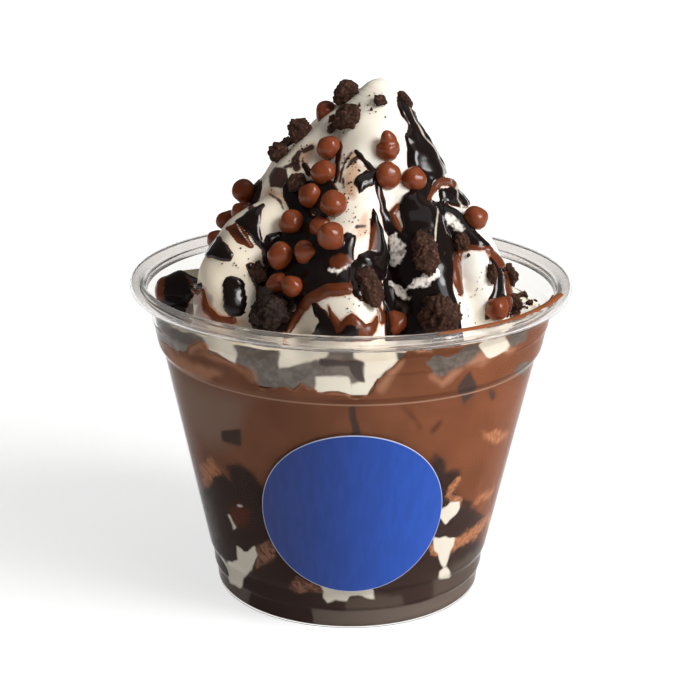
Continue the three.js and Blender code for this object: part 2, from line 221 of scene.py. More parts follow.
@dataclass
class Skin:
    """A mesh in millimetres: its points, its faces by size, and values at its points for its finish."""

    points: Array
    faces: list[Array]
    values: dict[str, Array] = field(default_factory=dict)

    def piece(self, name: str, material: Material) -> Piece:
        """Writes the skin as a smooth mesh object that rides on the cup.

        Args:
            name: The piece's name.
            material: Its finish.

        Returns:
            The new object.
        """
        mesh = bpy.data.meshes.new(name)
        faces = [face for block in self.faces for face in block.tolist()]
        mesh.from_pydata((self.points * MM).tolist(), [], faces)
        mesh.polygons.foreach_set("use_smooth", np.ones(len(faces), dtype=bool))
        for key, value in self.values.items():
            attribute = mesh.attributes.new(key, "FLOAT", "POINT")
            attribute.data.foreach_set("value", np.asarray(value, dtype=np.float32).ravel())
        mesh.materials.append(material)
        mesh.update()
        piece = linked(name, mesh)
        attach(piece, BODY)
        LOG.info("%s: %d points, %d faces", name, len(self.points), len(faces))
        return piece


def ring_quads(rows: int, columns: int) -> Array:
    """Quads over rings of points that close on themselves, facing outwards when the rings climb."""
    row, column = np.mgrid[: rows - 1, :columns]
    beside = (column + 1) % columns
    low, high = row * columns, (row + 1) * columns
    return np.stack([low + column, low + beside, high + beside, high + column], axis=-1).reshape(-1, 4)


def capped(rings: Array, first: Array, last: Array) -> Skin:
    """A closed skin of rings between two poles.

    Args:
        rings: Rings from the first pole to the last, as (rows, columns, 3).
        first: The pole under the first ring.
        last: The pole over the last ring.

    Returns:
        The skin, with the poles as its last two points.
    """
    rows, columns = rings.shape[:2]
    points = np.concatenate([rings.reshape(-1, 3), first[None], last[None]])
    column = np.arange(columns)
    beside = (column + 1) % columns
    top = (rows - 1) * columns
    under = np.stack([np.full(columns, len(points) - 2), beside, column], axis=-1)
    over = np.stack([np.full(columns, len(points) - 1), top + column, top + beside], axis=-1)
    return Skin(points, [ring_quads(rows, columns), under, over])


def looped(rings: Array) -> Skin:
    """A closed skin of rings whose last one meets the first, as (rows, columns, 3)."""
    rows, columns = rings.shape[:2]
    quads = ring_quads(rows + 1, columns) % (rows * columns)
    return Skin(rings.reshape(-1, 3), [quads])


def shell(outer: Array, inner: Array, quads: Array) -> tuple[Skin, Array]:
    """A closed body between two copies of a patch.

    The quads stand on the outer points and, turned round, on the inner ones, and a strip of quads joins the
    two along every edge that only one quad has.

    Args:
        outer: Outer points as (n, 3).
        inner: Inner points as (n, 3).
        quads: The patch's quads, by point.

    Returns:
        The skin, and for each of its points the number of the point that it came from.
    """
    count = len(outer)
    edges = quads[:, [[0, 1], [1, 2], [2, 3], [3, 0]]].reshape(-1, 2)
    ordered = np.sort(edges, axis=1)
    keys = ordered[:, 0] * count + ordered[:, 1]
    _, where, times = np.unique(keys, return_index=True, return_counts=True)
    rim = edges[where[times == 1]]
    strip = np.stack([rim[:, 1], rim[:, 0], rim[:, 0] + count, rim[:, 1] + count], axis=-1)
    faces = np.concatenate([quads, quads[:, ::-1] + count, strip])
    used, renumbered = np.unique(faces, return_inverse=True)
    points = np.concatenate([outer, inner])[used]
    return Skin(points, [renumbered.reshape(faces.shape)]), used % count


def sheet_quads(rows: int, columns: int) -> Array:
    """Quads over rows of points that don't close on themselves."""
    row, column = np.mgrid[: rows - 1, : columns - 1]
    start = row * columns + column
    return np.stack([start, start + 1, start + columns + 1, start + columns], axis=-1).reshape(-1, 4)


def kept_sheet(outer: Array, inner: Array, cover: Array, rows: int) -> tuple[Skin, Array]:
    """A closed sheet between two sides given as rows of points, where a cover is over nought.

    Args:
        outer: Outer points as (n, 3).
        inner: Inner points as (n, 3).
        cover: The cover at each of them.
        rows: How many rows there are.

    Returns:
        The skin, and for each of its points the number of the point that it came from.
    """
    quads = sheet_quads(rows, len(outer) // rows)
    return shell(outer, inner, quads[cover[quads].min(axis=1) > 0])


def ball_ways(rows: int, columns: int) -> Array:
    """Unit vectors of a ball's rings, then of its lower and upper pole, as (rows * columns + 2, 3)."""
    climb = np.radians(np.linspace(-90, 90, rows + 2)[1:-1])[:, None]
    around = np.linspace(0, 360, columns, endpoint=False)[None]
    level = spoke(np.broadcast_to(around, (rows, columns))) * np.cos(climb)[..., None]
    rings = level + UP * np.sin(climb)[..., None]
    return np.concatenate([rings.reshape(-1, 3), [-UP, UP]])


def ball_skin(points: Array, rows: int, columns: int) -> Skin:
    """A closed skin of points that keep the order of a ball's unit vectors."""
    return capped(points[:-2].reshape(rows, columns, 3), points[-2], points[-1])


def joined(skins: Sequence[Skin]) -> Skin:
    """Several skins as one."""
    starts = np.cumsum([0] + [len(skin.points) for skin in skins])
    faces = [block + start for skin, start in zip(skins, starts) for block in skin.faces]
    keys = skins[0].values
    values = {key: np.concatenate([skin.values[key] for skin in skins]) for key in keys}
    return Skin(np.concatenate([skin.points for skin in skins]), faces, values)


def from_stretch(pixels: Array, start: Array, end: Array) -> tuple[Array, Array]:
    """How far pixels are from a straight stretch, and the share of the way along it that is nearest."""
    along = end - start
    share = np.clip((pixels - start) @ along / max(along @ along, 1e-9), 0, 1)
    return np.linalg.norm(pixels - start - share[:, None] * along, axis=1), share


@dataclass(frozen=True)
class Trail:
    """A stroke: photo pixels along its middle, with its full width in pixels at each.

    Attributes:
        name: What the stroke is.
        path: Pixels along its middle.
        widths: Full widths at those pixels.
        depth: How thick it lies, in millimetres.
    """

    name: str
    path: Path
    widths: tuple[float, ...]
    depth: float = 0.6

    def cover(self, pixels: Array) -> Array:
        """How far inside the stroke's edge each pixel is, in pixels: the half width at the nearest point of
        its middle less the distance to it, the greatest over its stretches."""
        best = np.full(len(pixels), -1e3)
        path = np.array(self.path, dtype=float)
        for start, end, wide, next_wide in zip(path, path[1:], self.widths, self.widths[1:]):
            apart, share = from_stretch(pixels, start, end)
            best = np.maximum(best, (wide + share * (next_wide - wide)) / 2 - apart)
        return best

    def samples(self, step: float = 1.5) -> Array:
        """Pixels at even steps along the stroke."""
        path = np.array(self.path, dtype=float)
        lengths = np.linalg.norm(np.diff(path, axis=0), axis=1)
        marks = np.concatenate([[0.0], np.cumsum(lengths)])
        places = np.linspace(0, marks[-1], max(int(marks[-1] / step), 2))
        return np.stack([np.interp(places, marks, path[:, axis]) for axis in (0, 1)], axis=-1)


@dataclass(frozen=True)
class Patch:
    """A patch: the photo pixels of its outline, in order.

    Attributes:
        name: What the patch is.
        outline: Pixels round its edge.
        depth: How thick it lies, in millimetres.
    """

    name: str
    outline: Path
    depth: float = 0.6

    def cover(self, pixels: Array) -> Array:
        """How far inside the outline each pixel is, in pixels: the distance to the nearest side, negative
        outside. A pixel is inside when a level line from it crosses the outline an odd number of times."""
        outline = np.array(self.outline, dtype=float)
        apart = np.full(len(pixels), 1e3)
        inside = np.zeros(len(pixels), dtype=bool)
        for start, end in zip(outline, np.roll(outline, -1, axis=0)):
            apart = np.minimum(apart, from_stretch(pixels, start, end)[0])
            spans = (start[1] > pixels[:, 1]) != (end[1] > pixels[:, 1])
            slant = (end[0] - start[0]) / ((end[1] - start[1]) or 1e-9)
            crossing = start[0] + (pixels[:, 1] - start[1]) * slant
            inside ^= spans & (pixels[:, 0] < crossing)
        return np.where(inside, apart, -apart)

    def samples(self, step: float = 4.0) -> Array:
        """Pixels at even steps inside the outline."""
        outline = np.array(self.outline, dtype=float)
        low, high = outline.min(axis=0), outline.max(axis=0)
        columns, rows = np.meshgrid(np.arange(low[0], high[0], step), np.arange(low[1], high[1], step))
        lattice = np.stack([columns.ravel(), rows.ravel()], axis=-1)
        return lattice[self.cover(lattice) > 0]


Mark = Trail | Patch


PIXELS_PER_MM = 4.7


def blots(pixels: Array, marks: Sequence[Mark]) -> Array:
    """How far inside the nearest of several marks each pixel is, in millimetres on the cup."""
    return np.max([mark.cover(pixels) for mark in marks], axis=0) / PIXELS_PER_MM


def below_shore(pixels: Array, shore: Path) -> Array:
    """How far below a line across the photo each pixel is, in millimetres on the cup."""
    columns, rows = np.array(shore, dtype=float).T
    return (pixels[:, 1] - np.interp(pixels[:, 0], columns, rows)) / PIXELS_PER_MM


# What shows through the wall

MILK_SHORE: Path = (
    (120, 318), (150, 336), (164, 341), (170, 347), (183, 353), (189, 345), (199, 341), (207, 347),
    (220, 356), (235, 363), (247, 366), (254, 374), (256, 382), (264, 387), (284, 387), (291, 389),
    (305, 383), (314, 389), (318, 394), (327, 392), (350, 393), (358, 398), (367, 398), (371, 390),
    (376, 380), (389, 369), (396, 359), (407, 354), (413, 351), (424, 350), (454, 346), (478, 340),
    (504, 336), (523, 331), (540, 314), (562, 288),
)
BAND_CREAM = (
    Patch("white wedge at the left", ((202, 328), (230, 334), (236, 352), (235, 366), (218, 356),
        (206, 348))),
    Patch("white block in the band", ((279, 335), (328, 335), (327, 356), (312, 362), (279, 368))),
    Patch("white under the dark block", ((315, 376), (350, 377), (352, 396), (314, 396))),
    Patch("white tongue in the band", ((352, 338), (398, 338), (396, 360), (389, 369), (376, 380),
        (370, 394), (362, 402), (350, 396), (350, 384), (364, 382), (364, 362), (354, 357))),
)
BAND_DARK = (
    Patch("dark line in the band", ((320, 358), (350, 359), (362, 362), (364, 382), (356, 380), (350, 366),
        (320, 365))),
)
# Painted shade: grey where the ice cream stands back from the wall, in the gaps behind it.
BAND_GAP_SHADE = (
    Patch("grey patch at the right", ((425, 357), (429, 362), (436, 354), (444, 357), (454, 354),
        (464, 347), (478, 343), (484, 354), (488, 358), (468, 363), (456, 370), (441, 377), (433, 373),
        (428, 366))),
    Patch("grey end of the band", ((506, 333), (526, 328), (522, 342), (511, 347))),
    Patch("grey gap at the right", ((517, 366), (524, 360), (530, 364), (527, 370), (517, 375),
        (514, 372))),
)
BAND_WHITE = (
    Patch("white patch at the right", ((478, 344), (488, 333), (504, 333), (509, 345), (506, 352),
        (490, 357), (486, 356))),
)
SWIRL_MARKS = (
    Trail("swirl at the left", ((165, 343), (175, 357), (190, 368), (206, 373), (218, 372)),
        (4, 7, 10, 13, 9)),
    Trail("fold at the left", ((190, 351), (199, 344), (205, 350)), (4, 7, 4)),
    Trail("long fold at the left", ((200, 352), (224, 362), (246, 370), (254, 378)), (3, 4, 4, 6)),
    # Painted highlight: an orange-tan streak at the right.
    Trail("painted highlight in the band at the right", ((466, 366), (480, 360), (494, 352), (512, 349)), (3, 7, 6, 3)),
    Trail("fold under the grey patch", ((432, 376), (442, 384), (452, 376), (460, 370)), (4, 7, 7, 3)),
    Trail("edge beside the white tongue", ((399, 362), (388, 378), (380, 388)), (5, 8, 7)),
)
# Painted reflection: greyish brown over the fudge where the cup's lower step shows, and a brown strip along
# the fudge's left edge.
GREY_REFLECTION_MARKS = (
    Patch("grey step in the middle", ((345, 599), (372, 594), (400, 596), (404, 614), (344, 614))),
    Trail("brown strip at the left", ((209, 500), (214, 520), (217, 536)), (4, 6, 5)),
    Patch("grey step at the right", ((454, 562), (466, 555), (484, 545), (484, 592), (466, 598),
        (448, 603), (430, 607), (434, 578), (447, 574))),
    Patch("grey step at the left", ((196, 556), (219, 556), (226, 570), (232, 585), (248, 592), (250, 612),
        (196, 600))),
)
FUDGE_MARKS = (
    Patch("fudge", ((160, 500), (196, 492), (205, 489), (210, 484), (214, 476), (223, 472), (231, 479),
        (227, 466), (237, 463), (248, 469), (257, 478), (263, 486), (300, 500), (400, 500), (425, 470),
        (436, 454), (444, 457), (446, 472), (459, 470), (460, 477), (457, 492), (462, 499), (473, 501),
        (471, 507), (479, 511), (486, 517), (488, 522), (478, 538), (488, 545), (520, 546), (540, 680),
        (160, 680))),
)
BUMP_MARKS = (
    Patch("lump in the fudge", ((229, 508), (238, 502), (249, 510), (248, 522), (240, 528), (231, 522))),
    Trail("smudge left of the middle", ((402, 406), (411, 416), (420, 428)), (2, 3, 4)),
    Trail("smudge right of the middle", ((432, 430), (438, 424)), (5, 5)),
)
TAN_MARKS = (
    Patch("glint on the left", ((200, 466), (211, 458), (222, 470), (217, 475), (211, 480), (207, 486),
        (203, 475))),
    Patch("glint on the right", ((480, 430), (487, 433), (496, 429), (508, 431), (503, 438), (497, 444),
        (490, 444), (484, 438))),
    Patch("long streak on the right", ((452, 538), (466, 532), (479, 522), (487, 514), (489, 519),
        (479, 533), (475, 537), (462, 546), (451, 552))),
    Trail("short streak on the right", ((475, 503), (484, 496), (493, 488)), (3, 6, 3)),
    Patch("tan over the right white", ((450, 496), (462, 497), (463, 506), (458, 504), (449, 502))),
    Trail("tan beside the teardrop", ((429, 546), (437, 553)), (5, 6)),
    Trail("smear on the right", ((458, 479), (452, 489), (449, 497)), (5, 8, 6)),
)
DULL_MARKS = (
    Patch("tan beside the left patch", ((257, 547), (271, 542), (276, 550), (275, 557), (265, 565),
        (256, 569))),
    Patch("tan by the foot", ((289, 587), (298, 577), (309, 582), (318, 583), (320, 591), (309, 590),
        (298, 593))),
)
# Painted reflection: a lighter grey-brown laid over the left of the ice cream behind the wall, standing in
# for the wall's sheen.
LEFT_REFLECTION_MARKS = (
    Patch("grey light on the left", ((172, 370), (200, 384), (226, 393), (246, 400), (244, 415),
        (236, 432), (226, 444), (212, 446), (195, 434), (182, 408))),
)
WHITE_MARKS = (
    Trail("line in the fudge", ((229, 516), (233, 527)), (2.5, 2)),
    # Painted highlight: a white spot on the lump in the fudge.
    Trail("painted highlight on the lump", ((238, 505), (241, 506)), (3, 3)),
    Patch("left patch", ((236, 547), (240, 549), (245, 551), (250, 548), (256, 546), (257, 557),
        (255, 563), (250, 571), (246, 578), (241, 588), (236, 584), (231, 582), (229, 573), (226, 566),
        (222, 556), (228, 561), (234, 562), (238, 559))),
    Patch("scallops under the label", ((320, 583), (347, 588), (373, 590), (376, 599), (370, 599),
        (360, 595), (350, 596), (346, 602), (335, 600), (328, 604), (322, 596))),
    Patch("lower white on the right", ((450, 500), (459, 503), (461, 508), (455, 515), (447, 523),
        (438, 516))),
    Patch("teardrop", ((433, 537), (454, 537), (452, 548), (447, 560), (444, 568), (440, 560), (435, 549))),
    Patch("dot under the teardrop", ((440, 570), (445, 566), (450, 572), (448, 578), (441, 580))),
)
COOKIE_MARKS = (
    Patch("cookie in the milk ice", ((470, 372), (475, 380), (474, 394), (463, 404), (459, 388))),
    Trail("crumb in the milk ice", ((491, 392), (492, 397)), (5, 4)),
    Trail("smudge in the middle", ((353, 410), (355, 434)), (6, 8)),
    Patch("smudge on the left", ((221, 431), (228, 430), (241, 429), (241, 446), (222, 443))),
)
# Painted reflection: a grey band over the lowest few millimetres of what the cup holds, where its foot shows
# the floor, kept off the dark middle of the foot.
FOOT_REFLECTION_TOP = 4.4
FOOT_WITHOUT_REFLECTION = (Patch("dark middle of the foot", ((250, 580), (313, 590), (313, 660), (250, 650))),)
WALL_SWAY = 0.8
SWAY_LENGTH = 5.0
SWAY_SEEDS = (31, 32)
BACK_DRIFT = 16.0
DRIFT_LENGTH = 22.0
DRIFT_SEEDS = (33, 34)
DRIFT_REACH = 22.0
WALL_MARKS = {
    "cream": BAND_CREAM, "dark": BAND_DARK, "grey": BAND_GAP_SHADE, "fudge": FUDGE_MARKS, "bump": BUMP_MARKS,
    "tan": TAN_MARKS, "white": BAND_WHITE + WHITE_MARKS, "cookie": COOKIE_MARKS, "swirl": SWIRL_MARKS,
    "grey_reflection": GREY_REFLECTION_MARKS, "dull": DULL_MARKS, "left_reflection": LEFT_REFLECTION_MARKS,
}


def wall_fields(points: Array) -> dict[str, Array]:
    """Where each colour lies on what touches the wall.

    Points behind the axis are read at their mirror image in front of it, so that the pattern closes round
    the cup, and drift from there further back. A field is how far inside its colour's edge a point is, in
    millimetres.

    Args:
        points: Points on the wall as (n, 3).

    Returns:
        The fields by the name of their colour.
    """
    fronted = points.copy()
    fronted[:, 1] = -np.abs(fronted[:, 1])
    sway = np.stack([Wobble(SWAY_LENGTH, seed).at(fronted) for seed in SWAY_SEEDS], axis=-1)
    drift = np.stack([Wobble(DRIFT_LENGTH, seed).at(points) for seed in DRIFT_SEEDS], axis=-1)
    drift = drift * BACK_DRIFT * smoothstep(points[:, 1], 0.0, DRIFT_REACH)[:, None]
    pixels = VIEW.pixels(fronted)[:, :2] + WALL_SWAY * sway + drift
    fields = {key: blots(pixels, marks) for key, marks in WALL_MARKS.items()}
    fields["milk"] = below_shore(pixels, MILK_SHORE)
    # The foot's grey band: painted reflection.
    fields["sole"] = np.minimum(FOOT_REFLECTION_TOP - points[:, 2], -blots(pixels, FOOT_WITHOUT_REFLECTION))
    return fields


# Node trees


class Tree:
    """A node tree with short calls for adding and joining nodes."""

    def __init__(self, tree: NodeTree) -> None:
        """Keeps the tree that the calls work on."""
        self.tree = tree

    def add(self, kind: str, inputs: dict[Any, Any] | None = None, **settings: Any) -> bpy.types.Node:
        """Adds a node.

        Args:
            kind: Its type name, without the leading ShaderNode.
            inputs: Values or output sockets by the input's name or number.
            **settings: The node's own settings.

        Returns:
            The node.
        """
        node = self.tree.nodes.new("ShaderNode" + kind)
        for key, value in settings.items():
            setattr(node, key, value)
        for key, value in (inputs or {}).items():
            self.feed(node.inputs[key], value)
        return node

    def feed(self, socket: Socket, value: Any) -> None:
        """Links an output into a socket, or sets a plain value on it."""
        if isinstance(value, Socket):
            self.tree.links.new(value, socket)
        else:
            socket.default_value = value

    def math(self, operation: str, first: Any, second: Any = 0.0) -> Socket:
        """The output of a Math node."""
        return self.add("Math", {0: first, 1: second}, operation=operation).outputs[0]

    def ramp(self, value: Any, low: float, high: float, to_low: float = 0.0, to_high: float = 1.0) -> Any:
        """A value's smooth change from one range to another, held at its ends."""
        names = ("Value", "From Min", "From Max", "To Min", "To Max")
        inputs = dict(zip(names, (value, low, high, to_low, to_high)))
        return self.add("MapRange", inputs, interpolation_type="SMOOTHSTEP").outputs[0]

    def mix(self, factor: Any, first: Any, second: Any) -> Socket:
        """A colour between two others."""
        return self.add("Mix", {0: factor, 6: first, 7: second}, data_type="RGBA").outputs[2]

    def times(self, colour: Any, share: Any) -> Socket:
        """A colour times a number."""
        inputs = {0: 1.0, 6: colour, 7: share}
        return self.add("Mix", inputs, data_type="RGBA", blend_type="MULTIPLY").outputs[2]

    def value(self, name: str) -> Socket:
        """A number that the mesh holds at its points."""
        return self.add("Attribute", attribute_name=name).outputs["Fac"]

    def place(self) -> Socket:
        """Object coordinates."""
        return self.add("TexCoord").outputs["Object"]

    def group(self, tree: NodeTree, **inputs: Any) -> Socket:
        """The first output of a shared group, with its inputs by name."""
        named = {key.capitalize(): value for key, value in inputs.items()}
        return self.add("Group", named, node_tree=tree).outputs[0]


def group_tree(name: str, inputs: Sequence[str]) -> tuple[Tree, bpy.types.Node, bpy.types.Node]:
    """Starts a shared group with number inputs and one number output called Value.

    Args:
        name: The group's name.
        inputs: Its inputs' names.

    Returns:
        The tree, its input node and its output node.
    """
    made = bpy.data.node_groups.new(name, "ShaderNodeTree")
    for key in inputs:
        made.interface.new_socket(name=key, in_out="INPUT", socket_type="NodeSocketFloat")
    made.interface.new_socket(name="Value", in_out="OUTPUT", socket_type="NodeSocketFloat")
    return Tree(made), made.nodes.new("NodeGroupInput"), made.nodes.new("NodeGroupOutput")


class Effects:
    """Effects that several finishes share."""

    def __init__(self) -> None:
        """Builds each effect once."""
        self.edge = self._edge()
        self.grain = self._grain()
        self.specks = self._specks()

    @staticmethod
    def _edge() -> NodeTree:
        """A ragged edge: a field with noise added, cut at nought with a soft step."""
        tree, source, sink = group_tree("ragged_edge", ("Field", "Ragged", "Scale", "Soft"))
        inputs = {"Vector": tree.place(), "Scale": source.outputs["Scale"], "Detail": 3.0}
        centred = tree.math("SUBTRACT", tree.add("TexNoise", inputs).outputs[0], 0.5)
        swing = tree.math("MULTIPLY", centred, source.outputs["Ragged"])
        shifted = tree.math("ADD", source.outputs["Field"], swing)
        share = tree.math("DIVIDE", shifted, source.outputs["Soft"])
        tree.feed(sink.inputs["Value"], tree.ramp(share, -1.0, 1.0))
        return tree.tree

    @staticmethod
    def _grain() -> NodeTree:
        """Fine noise from 0 to 1."""
        tree, source, sink = group_tree("fine_grain", ("Scale", "Detail", "Roughness"))
        inputs = {key: source.outputs[key] for key in ("Scale", "Detail", "Roughness")}
        noise = tree.add("TexNoise", {"Vector": tree.place(), **inputs})
        tree.feed(sink.inputs["Value"], noise.outputs[0])
        return tree.tree

    @staticmethod
    def _specks() -> NodeTree:
        """Small dots: cells of a Voronoi pattern whose random number is under a share, cut at a radius."""
        tree, source, sink = group_tree("specks", ("Scale", "Share", "Radius"))
        cells = tree.add("TexVoronoi", {"Vector": tree.place(), "Scale": source.outputs["Scale"]})
        draw = tree.add("SeparateColor", {0: cells.outputs["Color"]})
        chosen = tree.math("LESS_THAN", draw.outputs[0], source.outputs["Share"])
        reach = tree.math("MULTIPLY", source.outputs["Radius"], tree.math("ADD", draw.outputs[1], 0.3))
        near = tree.math("LESS_THAN", cells.outputs["Distance"], reach)
        tree.feed(sink.inputs["Value"], tree.math("MULTIPLY", chosen, near))
        return tree.tree


@dataclass(frozen=True)
class Coat:
    """A colour laid over another where a field is positive.

    Attributes:
        key: The field's name.
        colour: The colour.
        ragged: How far noise moves its edge, in millimetres.
        soft: Half the width of its edge, in millimetres.
        scale: Waves of that noise to a metre.
        second: A colour that fine noise mixes in, if any.
    """

    key: str
    colour: Colour
    ragged: float = 1.0
    soft: float = 0.2
    scale: float = 400.0
    second: Colour | None = None


SOCKETS = {"ior": "IOR", "specular": "Specular IOR Level", "colour": "Base Color"}


class Finish:
    """What every finish starts from: a material with a Principled shader."""

    def __init__(self, name: str, effects: Effects) -> None:
        """Starts the material.

        Args:
            name: The material's name.
            effects: The shared effects.
        """
        self.material = bpy.data.materials.new(name)
        self.material.use_nodes = True
        self.nodes = Tree(self.material.node_tree)
        self.shader = self.material.node_tree.nodes["Principled BSDF"]
        self.effects = effects

    def set(self, **inputs: Any) -> None:
        """Sets or links the shader's inputs, named with _ for spaces."""
        for key, value in inputs.items():
            name = SOCKETS.get(key, key.replace("_", " ").title())
            self.nodes.feed(self.shader.inputs[name], value)

    def grain(self, scale: float, detail: float = 4.0, roughness: float = 0.55) -> Socket:
        """Fine noise at a number of waves to a metre."""
        return self.nodes.group(self.effects.grain, scale=scale, detail=detail, roughness=roughness)

    def edge(self, key: str, ragged: float, soft: float, scale: float) -> Socket:
        """The mask of where a field of the mesh is over nought, with a ragged and soft edge."""
        field_value = self.nodes.value(key)
        return self.nodes.group(self.effects.edge, field=field_value, ragged=ragged, scale=scale, soft=soft)

    def coats(self, colour: Any, coats: Sequence[Coat]) -> Socket:
        """Lays coats over a colour in order."""
        for coat in coats:
            mask = self.edge(coat.key, coat.ragged, coat.soft, coat.scale)
            over = coat.colour
            if coat.second:
                share = self.nodes.ramp(self.grain(1.5 * coat.scale), 0.4, 0.62)
                over = self.nodes.mix(share, over, coat.second)
            colour = self.nodes.mix(mask, colour, over)
        return colour

    def mottled(self, colour: Any, scale: float, dark: float, light: float) -> Socket:
        """A colour that noise makes darker and lighter by the shares given."""
        return self.nodes.times(colour, self.nodes.ramp(self.grain(scale), 0.3, 0.7, dark, light))

    def across(self, left: Colour, right: Colour, reach: float = 30.0) -> Socket:
        """A colour that changes smoothly from the left side of the cup to the right, used for painted shade
        and painted reflection of light that falls from the right.
        """
        parts = self.nodes.add("SeparateXYZ", {0: self.nodes.place()})
        return self.nodes.mix(self.nodes.ramp(parts.outputs[0], -reach * MM, reach * MM), left, right)

    def bump(self, height: Any, strength: float, distance: float) -> None:
        """Gives the shader a bump of a height in millimetres."""
        made = self.nodes.add("Bump", {"Height": height, "Strength": strength, "Distance": distance * MM})
        self.set(normal=made.outputs[0])


@dataclass(frozen=True)
class ClearPlastic:
    """Thin clear pressed plastic with faint long waves in its gloss."""

    name: str
    colour: Colour = (0.92, 0.91, 0.885, 1.0)
    roughness: float = 0.03
    ior: float = 1.06
    clarity: float = 1.0

    def make(self, effects: Effects) -> Material:
        """The material: glass that lets the lamps through, so that what it holds is lit."""
        finish = Finish(self.name, effects)
        finish.set(colour=self.colour, roughness=self.roughness, ior=self.ior)
        finish.set(transmission_weight=self.clarity)
        finish.bump(finish.grain(90.0, detail=1.0), strength=0.05, distance=0.5)
        nodes = finish.nodes
        through = nodes.add("BsdfTransparent", {"Color": self.colour})
        path = nodes.add("LightPath")
        inputs = {0: path.outputs["Is Shadow Ray"], 1: finish.shader.outputs[0], 2: through.outputs[0]}
        mixed = nodes.add("MixShader", inputs)
        nodes.feed(nodes.tree.nodes["Material Output"].inputs["Surface"], mixed.outputs[0])
        return finish.material


MILK_BROWN = tint(104, 63, 43)
# The ice cream's colour at the left of the cup, greyer and lighter than at the right: painted reflection.
MILK_LEFT_REFLECTION = tint(104, 69, 53)
FUDGE_BROWN = tint(50, 38, 35)
TAN = tint(156, 104, 74)
TAN_SHADE = tint(118, 78, 56)
COOKIE_BROWN = tint(64, 50, 46)
CARAMEL = tint(150, 90, 58)
WALL_COATS = (
    Coat("milk", MILK_BROWN, 0.9, 0.15, 300.0),
    # Painted shade in the gaps behind the wall.
    Coat("grey", tint(82, 74, 69), 0.8, 0.2, 600.0, tint(95, 87, 81)),
    # Painted reflection of the wall's sheen on the left.
    Coat("left_reflection", tint(116, 92, 80), 2.0, 3.0, 200.0),
    Coat("swirl", tint(142, 100, 78), 1.4, 0.9, 300.0),
    Coat("fudge", FUDGE_BROWN, 1.0, 0.9, 300.0),
    # Painted reflection at the cup's lower step.
    Coat("grey_reflection", tint(70, 60, 54), 0.6, 0.7, 300.0),
    # Painted reflection in the cup's foot.
    Coat("sole", tint(86, 76, 70), 0.4, 0.3, 300.0),
    Coat("bump", tint(74, 44, 34), 1.5, 1.0, 400.0),
    Coat("dull", tint(124, 90, 76), 1.2, 0.6, 700.0, tint(88, 60, 49)),
    Coat("tan", TAN, 1.6, 0.5, 900.0, TAN_SHADE),
    Coat("white", tint(190, 183, 171), 0.6, 0.25, 500.0),
    Coat("cookie", COOKIE_BROWN, 0.9, 0.4, 500.0),
)
FILM_COATS = (
    Coat("edge", tint(144, 100, 78), 0.6, 0.35, 500.0),
    *(coat for coat in WALL_COATS if coat.key in ("grey", "swirl", "white", "cookie")),
)


@dataclass(frozen=True)
class LayerFinish:
    """Ice cream pressed against the wall: milk chocolate with fudge, caramel, cream and cookie in it."""

    name: str
    milk: Colour = MILK_BROWN
    # Colour at the left of the cup: painted reflection.
    shade: Colour = MILK_LEFT_REFLECTION
    coats: tuple[Coat, ...] = WALL_COATS[1:]
    # Painted highlight: the pale line of the cup's shoulder, laid on the ice cream at that height.
    line: Colour = tint(156, 124, 106)
    shoulder_highlight_height: float = 56.2
    shoulder_highlight_reach: float = 0.32

    def make(self, effects: Effects) -> Material:
        """The material, with a painted highlight: a pale line where it meets the foot of the cup's shoulder.
        """
        finish = Finish(self.name, effects)
        # Greyer towards the left of the cup: painted reflection.
        base = finish.mottled(finish.across(self.shade, self.milk), scale=110.0, dark=0.86, light=1.1)
        nodes = finish.nodes
        parts = nodes.add("SeparateXYZ", {0: nodes.place()})
        offset = nodes.math("ABSOLUTE", nodes.math("SUBTRACT", parts.outputs[2], self.shoulder_highlight_height * MM))
        mask = nodes.ramp(offset, 0.0, self.shoulder_highlight_reach * MM, 0.8, 0.0)
        colour = nodes.mix(mask, finish.coats(base, self.coats), self.line)
        finish.set(colour=colour, roughness=0.6, specular=0.0)
        return finish.material


@dataclass(frozen=True)
class CreamFinish:
    """White soft serve with brown films, stains and dark dust, and what its foot shows through the wall."""

    # Darker and warmer at the left of the cup, lighter at the right: painted shade of light that falls from
    # the right.
    left: Colour = tint(231, 218, 196)
    right: Colour = tint(250, 244, 232)
    dust: Colour = tint(70, 52, 44)
    coats: tuple[Coat, ...] = (
        Coat("film", tint(206, 170, 140), 2.6, 1.0, 500.0),
        Coat("rope", tint(168, 148, 142), 1.2, 0.5, 400.0),
        Coat("halo", tint(190, 124, 78), 1.0, 0.35, 500.0),
        Coat("stain", tint(64, 40, 33), 0.7, 0.2, 700.0),
        # Painted shade: grey where the mound's foot stands back from the wall, under the pressed cream.
        Coat("foot", tint(86, 77, 71), 0.4, 0.2, 300.0, tint(108, 98, 91)),
        Coat("cream", tint(212, 205, 192), 0.8, 0.4, 500.0),
        Coat("dark", tint(58, 46, 42), 0.8, 0.3, 500.0),
        *WALL_COATS,
    )

    def make(self, effects: Effects) -> Material:
        """The material."""
        finish = Finish("soft_serve", effects)
        # Painted shade from the left side to the right.
        base = finish.mottled(finish.across(self.left, self.right), scale=70.0, dark=0.97, light=1.0)
        colour = finish.coats(base, self.coats)
        specks = finish.nodes.group(effects.specks, scale=420.0, share=0.03, radius=0.11)
        finish.set(colour=finish.nodes.mix(specks, colour, self.dust))
        finish.set(roughness=finish.nodes.ramp(finish.grain(260.0), 0.3, 0.7, 0.34, 0.5), specular=0.4)
        finish.set(subsurface_weight=0.3, subsurface_scale=0.003, subsurface_radius=(1.0, 0.7, 0.4))
        finish.bump(finish.grain(1400.0), strength=0.12, distance=0.12)
        return finish.material


